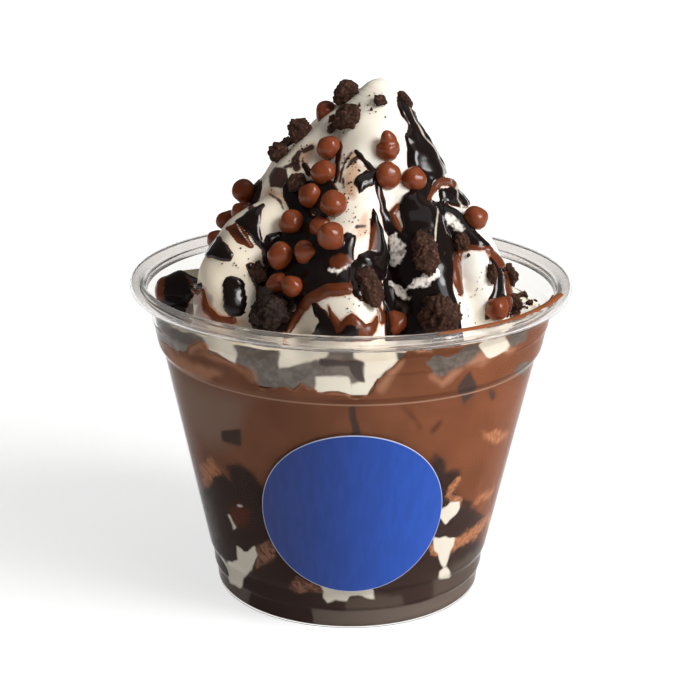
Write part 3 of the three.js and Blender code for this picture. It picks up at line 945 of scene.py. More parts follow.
@dataclass(frozen=True)
class SauceFinish:
    """Poured chocolate sauce: nearly black where thick, brown where thin, milky in its lighter runs, with
    painted highlights where it shines.
    """

    thick: Colour = tint(22, 14, 12)
    thin: Colour = tint(112, 52, 22)
    milk: Colour = tint(97, 47, 24)
    pale_thread: Colour = tint(206, 192, 174)
    # Painted highlights on the sauce: pale streaked patches where it shines.
    glint: Colour = tint(246, 236, 226)
    glint_shade: Colour = tint(152, 142, 135)
    blotch_depth: float = 0.12
    film_depth: float = 0.05
    thick_depth: float = 0.29

    def make(self, effects: Effects) -> Material:
        """The material."""
        finish = Finish("sauce", effects)
        nodes = finish.nodes
        blotches = nodes.math("MULTIPLY", finish.grain(300.0), self.blotch_depth)
        depth = nodes.math("ADD", nodes.value("depth"), blotches)
        dark = nodes.mix(nodes.ramp(depth, self.film_depth, self.thick_depth), self.thin, self.thick)
        pale = finish.edge("milk", ragged=0.3, soft=0.12, scale=500.0)
        thread = finish.edge("thread", ragged=0.3, soft=0.12, scale=500.0)
        # Painted highlights: the glint field lays pale streaks over the sauce.
        shine = finish.edge("glint", ragged=2.0, soft=0.25, scale=700.0)
        streaks = nodes.mix(nodes.ramp(finish.grain(900.0), 0.32, 0.56), self.glint_shade, self.glint)
        runs = nodes.mix(shine, nodes.mix(pale, dark, self.milk), streaks)
        finish.set(colour=nodes.mix(thread, runs, self.pale_thread))
        finish.set(roughness=nodes.ramp(pale, 0.0, 1.0, 0.15, 0.24), specular=0.28)
        finish.bump(finish.grain(220.0, detail=2.0), strength=0.08, distance=0.3)
        return finish.material


@dataclass(frozen=True)
class MilkChocolate:
    """Smooth milk chocolate with shallow pits, painted darker as painted shade, and a dull bloom."""

    base: Colour = tint(121, 58, 31)
    bloom: Colour = tint(129, 67, 38)

    def make(self, effects: Effects) -> Material:
        """The material."""
        finish = Finish("milk_chocolate", effects)
        nodes = finish.nodes
        colour = nodes.mix(nodes.ramp(finish.grain(500.0), 0.45, 0.75, 0.0, 0.25), self.base, self.bloom)
        # Pits painted darker: painted shade in the pits.
        pits = nodes.group(effects.specks, scale=700.0, share=0.12, radius=0.16)
        finish.set(colour=nodes.mix(nodes.math("MULTIPLY", pits, 0.45), colour, FUDGE_BROWN))
        finish.set(roughness=nodes.ramp(finish.grain(800.0), 0.3, 0.7, 0.16, 0.26), specular=0.25)
        height = nodes.math("SUBTRACT", finish.grain(420.0, detail=3.0), nodes.math("MULTIPLY", pits, 0.5))
        finish.bump(height, strength=0.25, distance=0.25)
        return finish.material


@dataclass(frozen=True)
class DarkCookie:
    """Broken dark cookie: a coarse dry crumb whose raised parts are paler, partly its own paler grains and
    partly painted highlight.
    """

    base: Colour = tint(56, 34, 24)
    grain: Colour = tint(112, 77, 60)
    wet: Colour = tint(32, 19, 14)

    def make(self, effects: Effects) -> Material:
        """The material."""
        finish = Finish("dark_cookie", effects)
        nodes = finish.nodes
        coarse = finish.grain(1500.0, detail=6.0, roughness=0.7)
        # Paler where the bump is high: the crumb's own paler grains, and painted highlight on the raised
        # crumb.
        colour = nodes.mix(nodes.ramp(coarse, 0.5, 0.72), self.base, self.grain)
        colour = nodes.mix(nodes.math("MULTIPLY", nodes.value("wet"), 0.8), colour, self.wet)
        dry = nodes.ramp(coarse, 0.3, 0.7, 0.95, 0.7)
        gloss = nodes.math("MULTIPLY", nodes.value("wet"), 0.35)
        finish.set(colour=colour, roughness=nodes.math("SUBTRACT", dry, gloss), specular=0.2)
        finish.bump(coarse, strength=0.7, distance=0.5)
        return finish.material


@dataclass(frozen=True)
class LabelPrint:
    """Plain blue print on a satin label with a thin pale edge, darker towards the left of the cup as painted
    shade.
    """

    diameter: float
    # Darker at the left of the cup than at the right: painted shade of light that falls from the right.
    left: Colour = tint(31, 51, 111)
    right: Colour = tint(31, 74, 165)
    edge: Colour = tint(176, 182, 202)
    edge_width: float = 0.18

    def make(self, effects: Effects) -> Material:
        """The material."""
        finish = Finish("label_print", effects)
        nodes = finish.nodes
        streaks = nodes.add("Mapping", {"Vector": nodes.place(), "Scale": (1.0, 1.0, 0.12)})
        print_lines = nodes.add("TexNoise", {"Vector": streaks.outputs[0], "Scale": 700.0, "Detail": 3.0})
        # Painted shade from the left side to the right.
        blue = finish.across(self.left, self.right, reach=self.diameter / 2)
        shade = nodes.ramp(print_lines.outputs[0], 0.35, 0.65, 0.92, 1.04)
        blue = nodes.times(blue, shade)
        rim = nodes.ramp(nodes.value("from_edge"), self.edge_width * 0.8, self.edge_width * 1.1, 1.0, 0.0)
        finish.set(colour=nodes.mix(rim, blue, self.edge))
        finish.set(roughness=0.42, specular=0.2)
        return finish.material


# Cup


@dataclass(frozen=True)
class Cup:
    """The clear cup: one even wall with a foot, a low step, a shoulder band and a rolled rim."""

    outer_wall: tuple[tuple[float, float], ...] = (
        (30.2, 0.7), (30.6, 4.6), (31.1, 5.2), (31.4, 8.8), (32.1, 10.0), (41.9, 56.5), (43.0, 58.0),
        (43.4, 60.0), (44.0, 63.0), (44.3, 63.6), (44.7, 66.8), (45.7, 68.6),
    )
    wall: float = 0.7
    rim_radius: float = 49.0
    rim_top: float = 72.8
    bead: float = 1.65
    curl_wall: float = 0.5
    curl_from: float = 185.0
    curl_to: float = -150.0
    foot_inner: float = 27.8
    foot_outer: float = 29.8
    recess_radius: float = 27.0
    recess: float = 1.4
    corner: float = 0.7
    seam_share: float = 0.25
    seam_gap: float = 0.03
    bead_colour: Colour = (0.9, 0.88, 0.86, 1.0)
    sides: int = 256

    def outside(self, height: Array) -> Array:
        """The wall's outer radius at heights."""
        radii, heights = np.array(self.outer_wall).T
        return np.interp(height, heights, radii)

    def inside(self, height: Array) -> Array:
        """The wall's inner radius at heights."""
        return self.outside(height) - self.wall

    def floor(self) -> float:
        """The height of the floor's upper face."""
        return self.recess + self.wall

    def _rounded(self, profile: Array, steps: int = 4, most: float = 0.45) -> Array:
        """A line whose inner corners are eased: each is a quadratic curve that starts and ends a corner's
        reach away along its two sides, or the most of a short side."""
        corners = profile[1:-1]
        sides = (profile[:-2] - corners, profile[2:] - corners)
        reaches = (np.minimum(self.corner, most * np.linalg.norm(side, axis=1)) for side in sides)
        start, end = (corners + unit(side) * reach[:, None] for side, reach in zip(sides, reaches))
        t = np.linspace(0, 1, steps)[None, :, None]
        curve = (1 - t) ** 2 * start[:, None] + 2 * t * (1 - t) * corners[:, None] + t**2 * end[:, None]
        return np.concatenate([profile[:1], curve.reshape(-1, 2), profile[-1:]])

    def _curl(self, radius: float, steps: int = 24) -> Array:
        """An arc of the rolled rim at a radius about its middle, from the inner wall over the top."""
        angle = np.radians(np.linspace(self.curl_from, self.curl_to, steps))
        middle = np.array([self.rim_radius - self.bead, self.rim_top - self.bead])
        return middle + radius * np.stack([np.cos(angle), np.sin(angle)], axis=-1)

    def _seam(self) -> Array:
        """Where the curl leaves the wall: its outer and inner points as radius and height."""
        start = np.array([self._curl(self.bead - self.curl_wall)[0], self._curl(self.bead)[0]])
        edge = np.array([self.outer_wall[-1], self.outer_wall[-1]]) - np.array([[0, 0], [self.wall, 0]])
        return edge + (start - edge) * self.seam_share

    def wall_profile(self) -> Array:
        """The wall's section as radius and height, from under the floor's middle, up the outside to the
        curl and down the inside to the floor's middle."""
        recess = [(0, self.recess), (self.recess_radius, self.recess)]
        foot = [(self.foot_inner, 0), (self.foot_outer, 0)]
        outer_top, inner_top = self._seam()
        outside = self._rounded(np.array([*recess, *foot, *self.outer_wall, outer_top]))
        floor = self.floor()
        inner = [(radius - self.wall, height) for radius, height in self.outer_wall if height > floor]
        corner = (float(self.inside(floor)), floor)
        inside = self._rounded(np.array([inner_top, *inner[::-1], corner, (0, floor)]))
        return np.concatenate([outside, inside])

    def rim_profile(self) -> Array:
        """The rolled rim's section: up from the wall, round the inside of the curl, back over its outside
        and down to the wall."""
        outer_start, inner_start = self._seam() + np.array([0, self.seam_gap])
        hollow = self._curl(self.bead - self.curl_wall)
        over = self._curl(self.bead)[::-1]
        return np.concatenate([outer_start[None], hollow, over, inner_start[None]])

    def _turned(self, section: Array) -> Array:
        """A section turned about the axis: a point at radius r and height z becomes r times the spoke of
        each azimuth, at z."""
        around = spoke(np.linspace(0, 360, self.sides, endpoint=False))
        return section[:, :1, None] * around + section[:, 1:, None] * UP

    def build(self, effects: Effects) -> None:
        """Builds the wall and the rolled rim."""
        profile = self.wall_profile()
        skin = capped(self._turned(profile[1:-1]), UP * profile[0, 1], UP * profile[-1, 1])
        wall = skin.piece("clear_cup", ClearPlastic("clear_plastic").make(effects))
        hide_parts("cup")
        curl = looped(self._turned(self.rim_profile()))
        milky = ClearPlastic("clear_bead", self.bead_colour, roughness=0.02, ior=1.22, clarity=0.97)
        bead = curl.piece("clear_rim", milky.make(effects))


@dataclass(frozen=True)
class Label:
    """The round label: a flat disc wrapped on the cup's cone."""

    cup: Cup
    diameter: float = 40.0
    thickness: float = 0.25
    clearance: float = 0.2
    azimuth: float = 1.6
    height: float = 29.9
    cone_station: int = 4
    edge_round: float = 0.1
    edge_steps: int = 7
    rings: int = 40
    sides: int = 160

    def _wrapped(self, disc: Array) -> Array:
        """Bends a disc that lies in x and y, thickness along z, onto the cone: y runs up the slope, x round
        it, and z stands off it."""
        low, high = (np.array(station) for station in self.cup.outer_wall[self.cone_station :][:2])
        flare = np.arctan2(high[0] - low[0], high[1] - low[1])
        height = self.height + disc[..., 1] * np.cos(flare)
        cone = low[0] + (height - low[1]) * np.tan(flare)
        stand = self.clearance + disc[..., 2]
        out = spoke(self.azimuth + np.degrees(disc[..., 0] / cone))
        outwards, upwards = cone + stand * np.cos(flare), height - stand * np.sin(flare)
        return out * outwards[..., None] + UP * upwards[..., None]

    def build(self, effects: Effects) -> None:
        """A disc of rings with a rounded edge: radius and thickness run out along the back, round a half
        circle at the edge and in along the front, and the whole is wrapped on the cone."""
        radius = self.diameter / 2
        out = np.linspace(0, radius - self.edge_round, self.rings)[1:]
        turn = np.linspace(-90, 90, self.edge_steps)[1:-1]
        bulge = radius - self.edge_round + self.edge_round * np.cos(np.radians(turn))
        radii = np.concatenate([out, bulge, out[::-1]])
        level = self.thickness / 2 * (1 + np.sin(np.radians(turn)))
        heights = np.concatenate([np.zeros_like(out), level, np.full_like(out, self.thickness)])
        angle = np.linspace(0, 2 * np.pi, self.sides, endpoint=False)[None]
        across, along = radii[:, None] * np.cos(angle), radii[:, None] * np.sin(angle)
        disc = np.stack([across, along, np.broadcast_to(heights[:, None], across.shape)], axis=-1)
        poles = self._wrapped(np.array([[0, 0, 0], [0, 0, self.thickness]]))
        skin = capped(self._wrapped(disc), poles[0], poles[1])
        from_edge = radius - np.repeat(radii, self.sides)
        skin.values["from_edge"] = np.concatenate([from_edge, [radius, radius]])
        piece = skin.piece("blue_label", LabelPrint(self.diameter).make(effects))
        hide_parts("label")


# Layers in the cup


@dataclass(frozen=True)
class Layers:
    """The fudge and the chocolate ice cream, pressed just into the wall."""

    cup: Cup
    press: float = 0.1
    fudge_level: float = 25.0
    fudge_tilt: float = 5.0
    fudge_wave: float = 2.0
    chocolate_level: float = 59.6
    chocolate_wave: float = 1.0
    brim_radius: float = 43.0
    columns: int = 480
    row_height: float = 0.6
    rings: int = 5
    corner: float = 0.002
    sole: tuple[tuple[float, float], ...] = ((27.0, 1.9), (27.6, 0.5), (29.2, 0.28), (29.7, 0.7))

    def fudge_top(self, azimuth: Array) -> Array:
        """The fudge's upper edge: a level with a tilt and a threefold wave."""
        angle = np.radians(azimuth)
        return self.fudge_level + self.fudge_wave * np.sin(3 * angle) - self.fudge_tilt * np.sin(angle)

    def chocolate_slope(self, azimuth: Array) -> Array:
        """Rise of the chocolate's upper face for each millimetre outwards."""
        return -self.chocolate_wave * np.cos(2 * np.radians(azimuth)) / self.brim_radius

    def held(self, height: Array) -> Array:
        """The radius that fills the cup at heights, just inside the wall's thickness."""
        return self.cup.inside(height) + self.press

    def _filling(self, bottom: Array, top: Array, sole: Sequence[tuple[float, float]] = ()) -> Skin:
        """A body between two wavy edges: rings go out under it, climb the wall in even shares of its height
        at each azimuth, and come in over it.

        Args:
            bottom: Height of its lower edge at each azimuth.
            top: Height of its upper edge at each azimuth.
            sole: Radii and heights of level rings between its underside and its side.

        Returns:
            The skin, with the colours' fields.
        """
        rows = int((top - bottom).max() / self.row_height)
        around = spoke(np.linspace(0, 360, self.columns, endpoint=False))
        shares = np.insert(np.linspace(0, 1, rows), [1, rows - 1], [self.corner, 1 - self.corner])[:, None]
        side_heights = bottom + shares * (top - bottom)
        side_radii = self.held(side_heights)
        inward = np.linspace(0, 1, self.rings + 1)[1:-1][:, None]
        under, over = side_radii[0] * inward, side_radii[-1] * inward[::-1]
        middles = bottom.mean(), top.mean()
        low = middles[0] + (bottom - middles[0]) * inward
        high = middles[1] + (top - middles[1]) * inward[::-1]
        level = np.array(sole, dtype=float).reshape(-1, 2)[:, :, None] * np.ones(self.columns)
        radii = np.concatenate([under, level[:, 0], side_radii, over])
        heights = np.concatenate([low, level[:, 1], side_heights, high])
        skin = capped(radii[..., None] * around + heights[..., None] * UP, UP * middles[0], UP * middles[1])
        skin.values = wall_fields(skin.points)
        return skin

    def build(self, effects: Effects) -> None:
        """Builds both layers, which meet at the fudge's upper edge."""
        azimuth = np.linspace(0, 360, self.columns, endpoint=False)
        bottom = np.full(self.columns, self.cup.floor() - self.press)
        middle = self.fudge_top(azimuth)
        top = self.chocolate_level + self.chocolate_slope(azimuth) * self.brim_radius
        fudge = self._filling(bottom, middle, self.sole)
        fudge = fudge.piece("fudge_fill", LayerFinish("fudge").make(effects))
        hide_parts("fudge_layer")
        milk = self._filling(middle, top)
        milk = milk.piece("chocolate_fill", LayerFinish("chocolate_ice").make(effects))
        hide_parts("chocolate_layer")


# Mound


@dataclass(frozen=True)
class Rope:
    """A rope of soft serve: balls along a curve through three points, from one radius to another."""

    path: tuple[tuple[float, float, float], ...]
    radii: tuple[float, float]

    def beads(self, count: int) -> tuple[Array, Array]:
        """Ball centres and radii: the quadratic curve that starts at the first point, passes the middle one
        half way and ends at the last, at even steps, with radii that grow evenly."""
        top, middle, bottom = np.array(self.path, dtype=float)
        handle = 2 * middle - (top + bottom) / 2
        t = np.linspace(0, 1, count)[:, None]
        centres = (1 - t) ** 2 * top + 2 * t * (1 - t) * handle + t**2 * bottom
        return centres, self.radii[0] + t[:, 0] * (self.radii[1] - self.radii[0])


ROPES = {
    "core": Rope(((4, -1, 101.5), (2.5, -2, 81.5), (0, -2, 60.5)), (8, 32.5)),
    "peak": Rope(((5.4, 0, 111.5), (4.8, -2, 105.5), (3.5, -6, 97.5)), (3.2, 9)),
    "front": Rope(((3.5, -6, 100.5), (0.5, -17, 88.5), (-3, -25, 75.5)), (7.5, 9)),
    "left_high": Rope(((2, -1, 105.5), (-6, -4, 99.5), (-13, -8, 90.5)), (5, 6.5)),
    "left_lobe": Rope(((-12.8, -12, 87.1), (-22.9, -17, 79.5), (-24.5, -22, 64.5)), (6, 8)),
    "left_back": Rope(((-9, 3, 96), (-19, 3.5, 82.5), (-27, 4, 63.5)), (6, 6.5)),
    "left_foot": Rope(((-36, 2, 68.6), (-36.8, 1, 66), (-37.2, 0, 60.5)), (3.4, 4.6)),
    "left_valley": Rope(((-5, -10, 91.5), (-9, -20, 79.5), (-13, -29, 64.5)), (5, 6.5)),
    "front_low": Rope(((-3, -28, 75.5), (0, -32, 70.5), (0, -34, 62.5)), (7, 8)),
    "right_valley": Rope(((9, -12, 92.5), (14, -22, 80.5), (17, -28, 64.5)), (6, 8.5)),
    "right_high": Rope(((8, -1, 105.5), (13.5, -5, 94.5), (20.5, -9, 82.5)), (5, 6.5)),
    "right_tongue": Rope(((19, -11, 85.5), (25.5, -18, 77.5), (27, -23, 62.5)), (5.5, 6)),
    "right_outer": Rope(((17, -1, 87.5), (25.5, -5, 77.5), (29.5, -7, 62.5)), (5.5, 6)),
    "back_right": Rope(((4, 3, 106.5), (12, 13, 90.5), (20, 23, 64.5)), (6, 10)),
    "back": Rope(((3, 3, 106.5), (0, 16, 90.5), (-2, 29, 64.5)), (6, 11)),
    "back_left": Rope(((1, 3, 105.5), (-9, 13, 90.5), (-19, 23, 64.5)), (6, 10)),
}

FILM_TRAILS = (
    Trail("smear left of the middle", ((352, 156), (354, 172), (350, 190)), (8, 18, 16)),
    Trail("smear on the high ridge", ((294, 168), (304, 156), (312, 148)), (8, 16, 8)),
    Trail("streak over the left lobe", ((270, 192), (282, 198), (294, 210)), (8, 9, 6)),
    Trail("glow over the low lobe", ((350, 246), (342, 258), (334, 268)), (12, 20, 16)),
    Trail("edge of the wedge", ((368, 214), (362, 232), (352, 246)), (6, 12, 8)),
    Trail("foot of the left lobe", ((208, 312), (222, 322), (240, 322)), (8, 9, 6)),
)
ROPE_TRAILS = (
    Trail("rope at the far left", ((186, 316), (194, 302), (201, 291), (206, 300), (207, 318)),
        (8, 13, 10, 13, 12)),
    Patch("inside of the rope", ((192, 320), (198, 302), (204, 300), (206, 324))),
)
STAIN_TRAILS = (
    Trail("long line of the smear", ((351.6, 152.8), (345, 161.4), (341.6, 172), (339.7, 181.5)),
        (2.4, 2.4, 2.6, 2.2)),
    Trail("thick line of the smear", ((360, 155.7), (351.6, 161.4), (346.8, 168)), (5, 4, 2)),
    Trail("short line of the smear", ((343, 178), (344, 187)), (2.4, 2)),
    Trail("left splotch on the high ridge", ((299, 152), (295, 160), (297, 168)), (4, 8, 8)),
    Trail("right splotch on the high ridge", ((304, 151), (312, 147)), (5, 6)),
    Trail("splotch to the patch", ((286, 167), (294, 163)), (4, 5)),
    Patch("patch on the high ridge", ((268, 172), (274, 167), (287, 168), (288, 180), (282, 188),
        (270, 187))),
    Trail("line over the left lobe", ((270, 194), (280, 201), (283, 208)), (2, 3, 2)),
    Trail("bits by the wedge", ((357, 227), (365, 226)), (4, 3)),
)


@dataclass(frozen=True)
class Mound:
    """The soft serve: ropes that drape from the peak over a ring that meets the wall.

    Seen from its heart, the mound reaches as far as the softened greatest exit of all its balls: a ray
    leaves a ball at b + sqrt(r^2 - h^2), with b along the ray to the ball's middle and h aside from it, and
    where it misses falls off by a skirt times the miss. The reach is the log of the sum of the exponentials
    of the exits, over a crease's width, held inside the wall and above the chocolate.
    """

    layers: Layers
    heart: tuple[float, float, float] = (0.0, 0.0, 64.0)
    beads_per_rope: int = 10
    crease: float = 1.3
    skirt: float = 3.0
    brim_beads: int = 36
    brim_bead: float = 7.5
    brim_path: float = 38.0
    brim_level: float = 66.2
    brim_tilt: float = 3.2
    brim_high_side: float = 15.0
    columns: int = 460
    front_pull: float = 0.45
    rows: int = 196
    lowest_row: float = -10.0
    folds: float = 0.22
    fold_length: float = 9.0
    fold_seed: int = 5
    blocks: int = 40
    wall_passes: int = 4
    halvings: int = 24
    climb_span: tuple[float, float] = (-8.0, 89.0)
    band_gap: float = 2.0
    band_fade: float = 1.5
    halo: float = 0.2
    sunk: float = 1.0

    def _beads(self) -> tuple[Array, Array]:
        """All ball centres from the heart, and their radii."""
        azimuth = np.linspace(0, 360, self.brim_beads, endpoint=False)
        lean = np.cos(np.radians(azimuth - self.brim_high_side))
        ring = spoke(azimuth) * self.brim_path
        ring[:, 2] = self.brim_level + self.brim_tilt * lean - self.brim_bead
        chains = [rope.beads(self.beads_per_rope) for rope in ROPES.values()]
        centres = np.concatenate([centre for centre, _ in chains] + [ring])
        brim = np.full(self.brim_beads, self.brim_bead)
        radii = np.concatenate([radius for _, radius in chains] + [brim])
        return centres - np.array(self.heart), radii

    def _ropes_reach(self, directions: Array) -> Array:
        """Reach of the balls alone along unit directions given as (n, 3)."""
        centres, radii = self._beads()
        along = directions @ centres.T
        aside = np.sqrt(np.maximum((centres**2).sum(axis=1) - along**2, 0))
        half = np.sqrt(np.maximum(radii**2 - aside**2, 0))
        exits = along + half - self.skirt * np.maximum(aside - radii, 0)
        farthest = exits.max(axis=1)
        shares = np.exp((exits - farthest[:, None]) / self.crease)
        return farthest + self.crease * np.log(shares.sum(axis=1))

    def reach(self, directions: Array) -> Array:
        """Reach along unit directions, held inside the wall and above the chocolate."""
        blocks = np.array_split(directions, self.blocks)
        reach = np.concatenate([self._ropes_reach(block) for block in blocks])
        heart = np.array(self.heart)
        fold = Wobble(self.fold_length, self.fold_seed)
        reach = reach + self.folds * fold.at(directions * reach[:, None])
        flat = np.maximum(np.hypot(directions[:, 0], directions[:, 1]), 1e-6)
        fall = directions[:, 2] - self.layers.chocolate_slope(azimuth_of(directions)) * flat
        deepest = (self.layers.chocolate_level - heart[2]) / np.minimum(fall, -1e-6)
        reach = np.where(fall < 0, np.minimum(reach, deepest), reach)
        for _ in range(self.wall_passes):
            limit = self.layers.held(heart[2] + reach * directions[:, 2])
            reach = np.minimum(reach, limit / flat)
        return reach

    def grid(self) -> Array:
        """Points of the mound's rings, closer together at the front, as (rows, columns, 3)."""
        turn = np.linspace(0, 2 * np.pi, self.columns, endpoint=False)
        azimuth = np.degrees(turn - self.front_pull * np.sin(turn))
        climb = np.radians(np.linspace(self.lowest_row, 90, self.rows + 1)[:-1])
        level = spoke(np.broadcast_to(azimuth, (self.rows, self.columns))) * np.cos(climb)[:, None, None]
        directions = level + UP * np.sin(climb)[:, None, None]
        flat = directions.reshape(-1, 3)
        points = flat * self.reach(flat)[:, None] + np.array(self.heart)
        return points.reshape(directions.shape)

    def on_surface(self, azimuth: Array, height: Array) -> Array:
        """Points of the mound at azimuths and heights, by halving the elevation."""
        low, high = (np.full(azimuth.shape, end) for end in self.climb_span)
        heart = np.array(self.heart)
        for _ in range(self.halvings):
            middle = np.radians((low + high) / 2)
            directions = spoke(azimuth) * np.cos(middle)[:, None] + UP * np.sin(middle)[:, None]
            points = heart + directions * self.reach(directions)[:, None]
            under = points[:, 2] < height
            turned = np.degrees(middle)
            low, high = np.where(under, turned, low), np.where(under, high, turned)
        return points

    def build(self, effects: Effects) -> "MoundSurface":
        """Builds the white mound and keeps its surface for what lies on it."""
        grid = self.grid()
        peak = np.array(self.heart) + UP * self.reach(UP[None])
        skin = capped(grid, UP * (self.layers.chocolate_level - self.sunk), peak)
        gap = self.layers.held(skin.points[:, 2]) - np.hypot(skin.points[:, 0], skin.points[:, 1])
        leave = np.maximum(gap - self.band_gap, 0) * self.band_fade
        surface = MoundSurface(grid)
        values = {key: cover - leave for key, cover in wall_fields(skin.points).items()}
        # Near the wall the mound's foot is grey: painted shade of the gaps behind the wall.
        values["foot"] = self.band_gap - gap
        values["film"] = surface.front_cover(skin.points, FILM_TRAILS)
        values["stain"] = surface.front_cover(skin.points, STAIN_TRAILS)
        values["rope"] = surface.front_cover(skin.points, ROPE_TRAILS)
        values["halo"] = surface.front_cover(skin.points, MILK_POURS) + self.halo
        skin.values = values
        piece = skin.piece("soft_serve_mound", CreamFinish().make(effects))
        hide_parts("soft_serve")
        return surface


class MoundSurface:
    """The mound's finished surface, for placing sauce, crumbs and stains on it."""

    def __init__(self, grid: Array) -> None:
        """Works out the surface's normals and makes it ready for rays.

        Args:
            grid: Its rings of points as (rows, columns, 3).
        """
        self.points = grid.reshape(-1, 3)
        self.quads = ring_quads(*grid.shape[:2])
        along = np.roll(grid, -1, axis=1) - np.roll(grid, 1, axis=1)
        rise = np.gradient(grid, axis=0)
        self.normals = unit(np.cross(along, rise)).reshape(-1, 3)
        self.tree = BVHTree.FromPolygons(self.points.tolist(), self.quads.tolist())

    def cast(self, pixels: Array) -> tuple[Array, Array, Array]:
        """Carries pixels onto the surface.

        Args:
            pixels: Pixels as (n, 2).

        Returns:
            Which pixels meet the surface, and the points and normals where they do.
        """
        eye = Vector(VIEW.eye())
        hits = [self.tree.ray_cast(eye, Vector(ray)) for ray in VIEW.rays(pixels)]
        met = np.array([hit[0] is not None for hit in hits])
        points = np.array([hit[0] for hit in hits if hit[0] is not None]).reshape(-1, 3)
        normals = np.array([hit[1] for hit in hits if hit[0] is not None]).reshape(-1, 3)
        return met, points, normals

    def nearest(self, points: Array) -> tuple[Array, Array]:
        """The surface's nearest points to others, and its normals there."""
        found = [self.tree.find_nearest(Vector(point)) for point in points]
        return np.array([hit[0] for hit in found]), np.array([hit[1] for hit in found])

    def front_cover(
        self, points: Array, marks: Sequence[Mark],
        spare: float = 7.0, margin: float = 40.0, far: float = -9.0,
    ) -> Array:
        """How far inside the nearest of several marks points are, in millimetres, where they lie near what
        the mark was drawn on.

        Some of a mark's pixels are carried onto the surface. A point's cover is that of its own pixel, less
        any depth beyond a spare between it and the nearest of those pixels in the frame.

        Args:
            points: Points as (n, 3).
            marks: The marks.
            spare: Depth along the line of sight that a mark covers freely.
            margin: How far round a mark points are looked at, in pixels.
            far: The cover of points further off.

        Returns:
            The cover at each point.
        """
        best = np.full(len(points), far)
        seen = VIEW.pixels(points)
        for mark in marks:
            met, hits, _ = self.cast(mark.samples())
            if not met.any():
                continue
            places = VIEW.pixels(hits)
            low, high = places[:, :2].min(axis=0) - margin, places[:, :2].max(axis=0) + margin
            near = np.flatnonzero(np.all((seen[:, :2] > low) & (seen[:, :2] < high), axis=1))
            across = ((seen[near, None, :2] - places[None, :, :2]) ** 2).sum(axis=2)
            depth = places[across.argmin(axis=1), 2]
            behind = np.maximum(np.abs(seen[near, 2] - depth) - spare, 0)
            cover = mark.cover(seen[near, :2]) * depth / VIEW.focal - behind
            best[near] = np.maximum(best[near], cover)
        return best


# Sauce

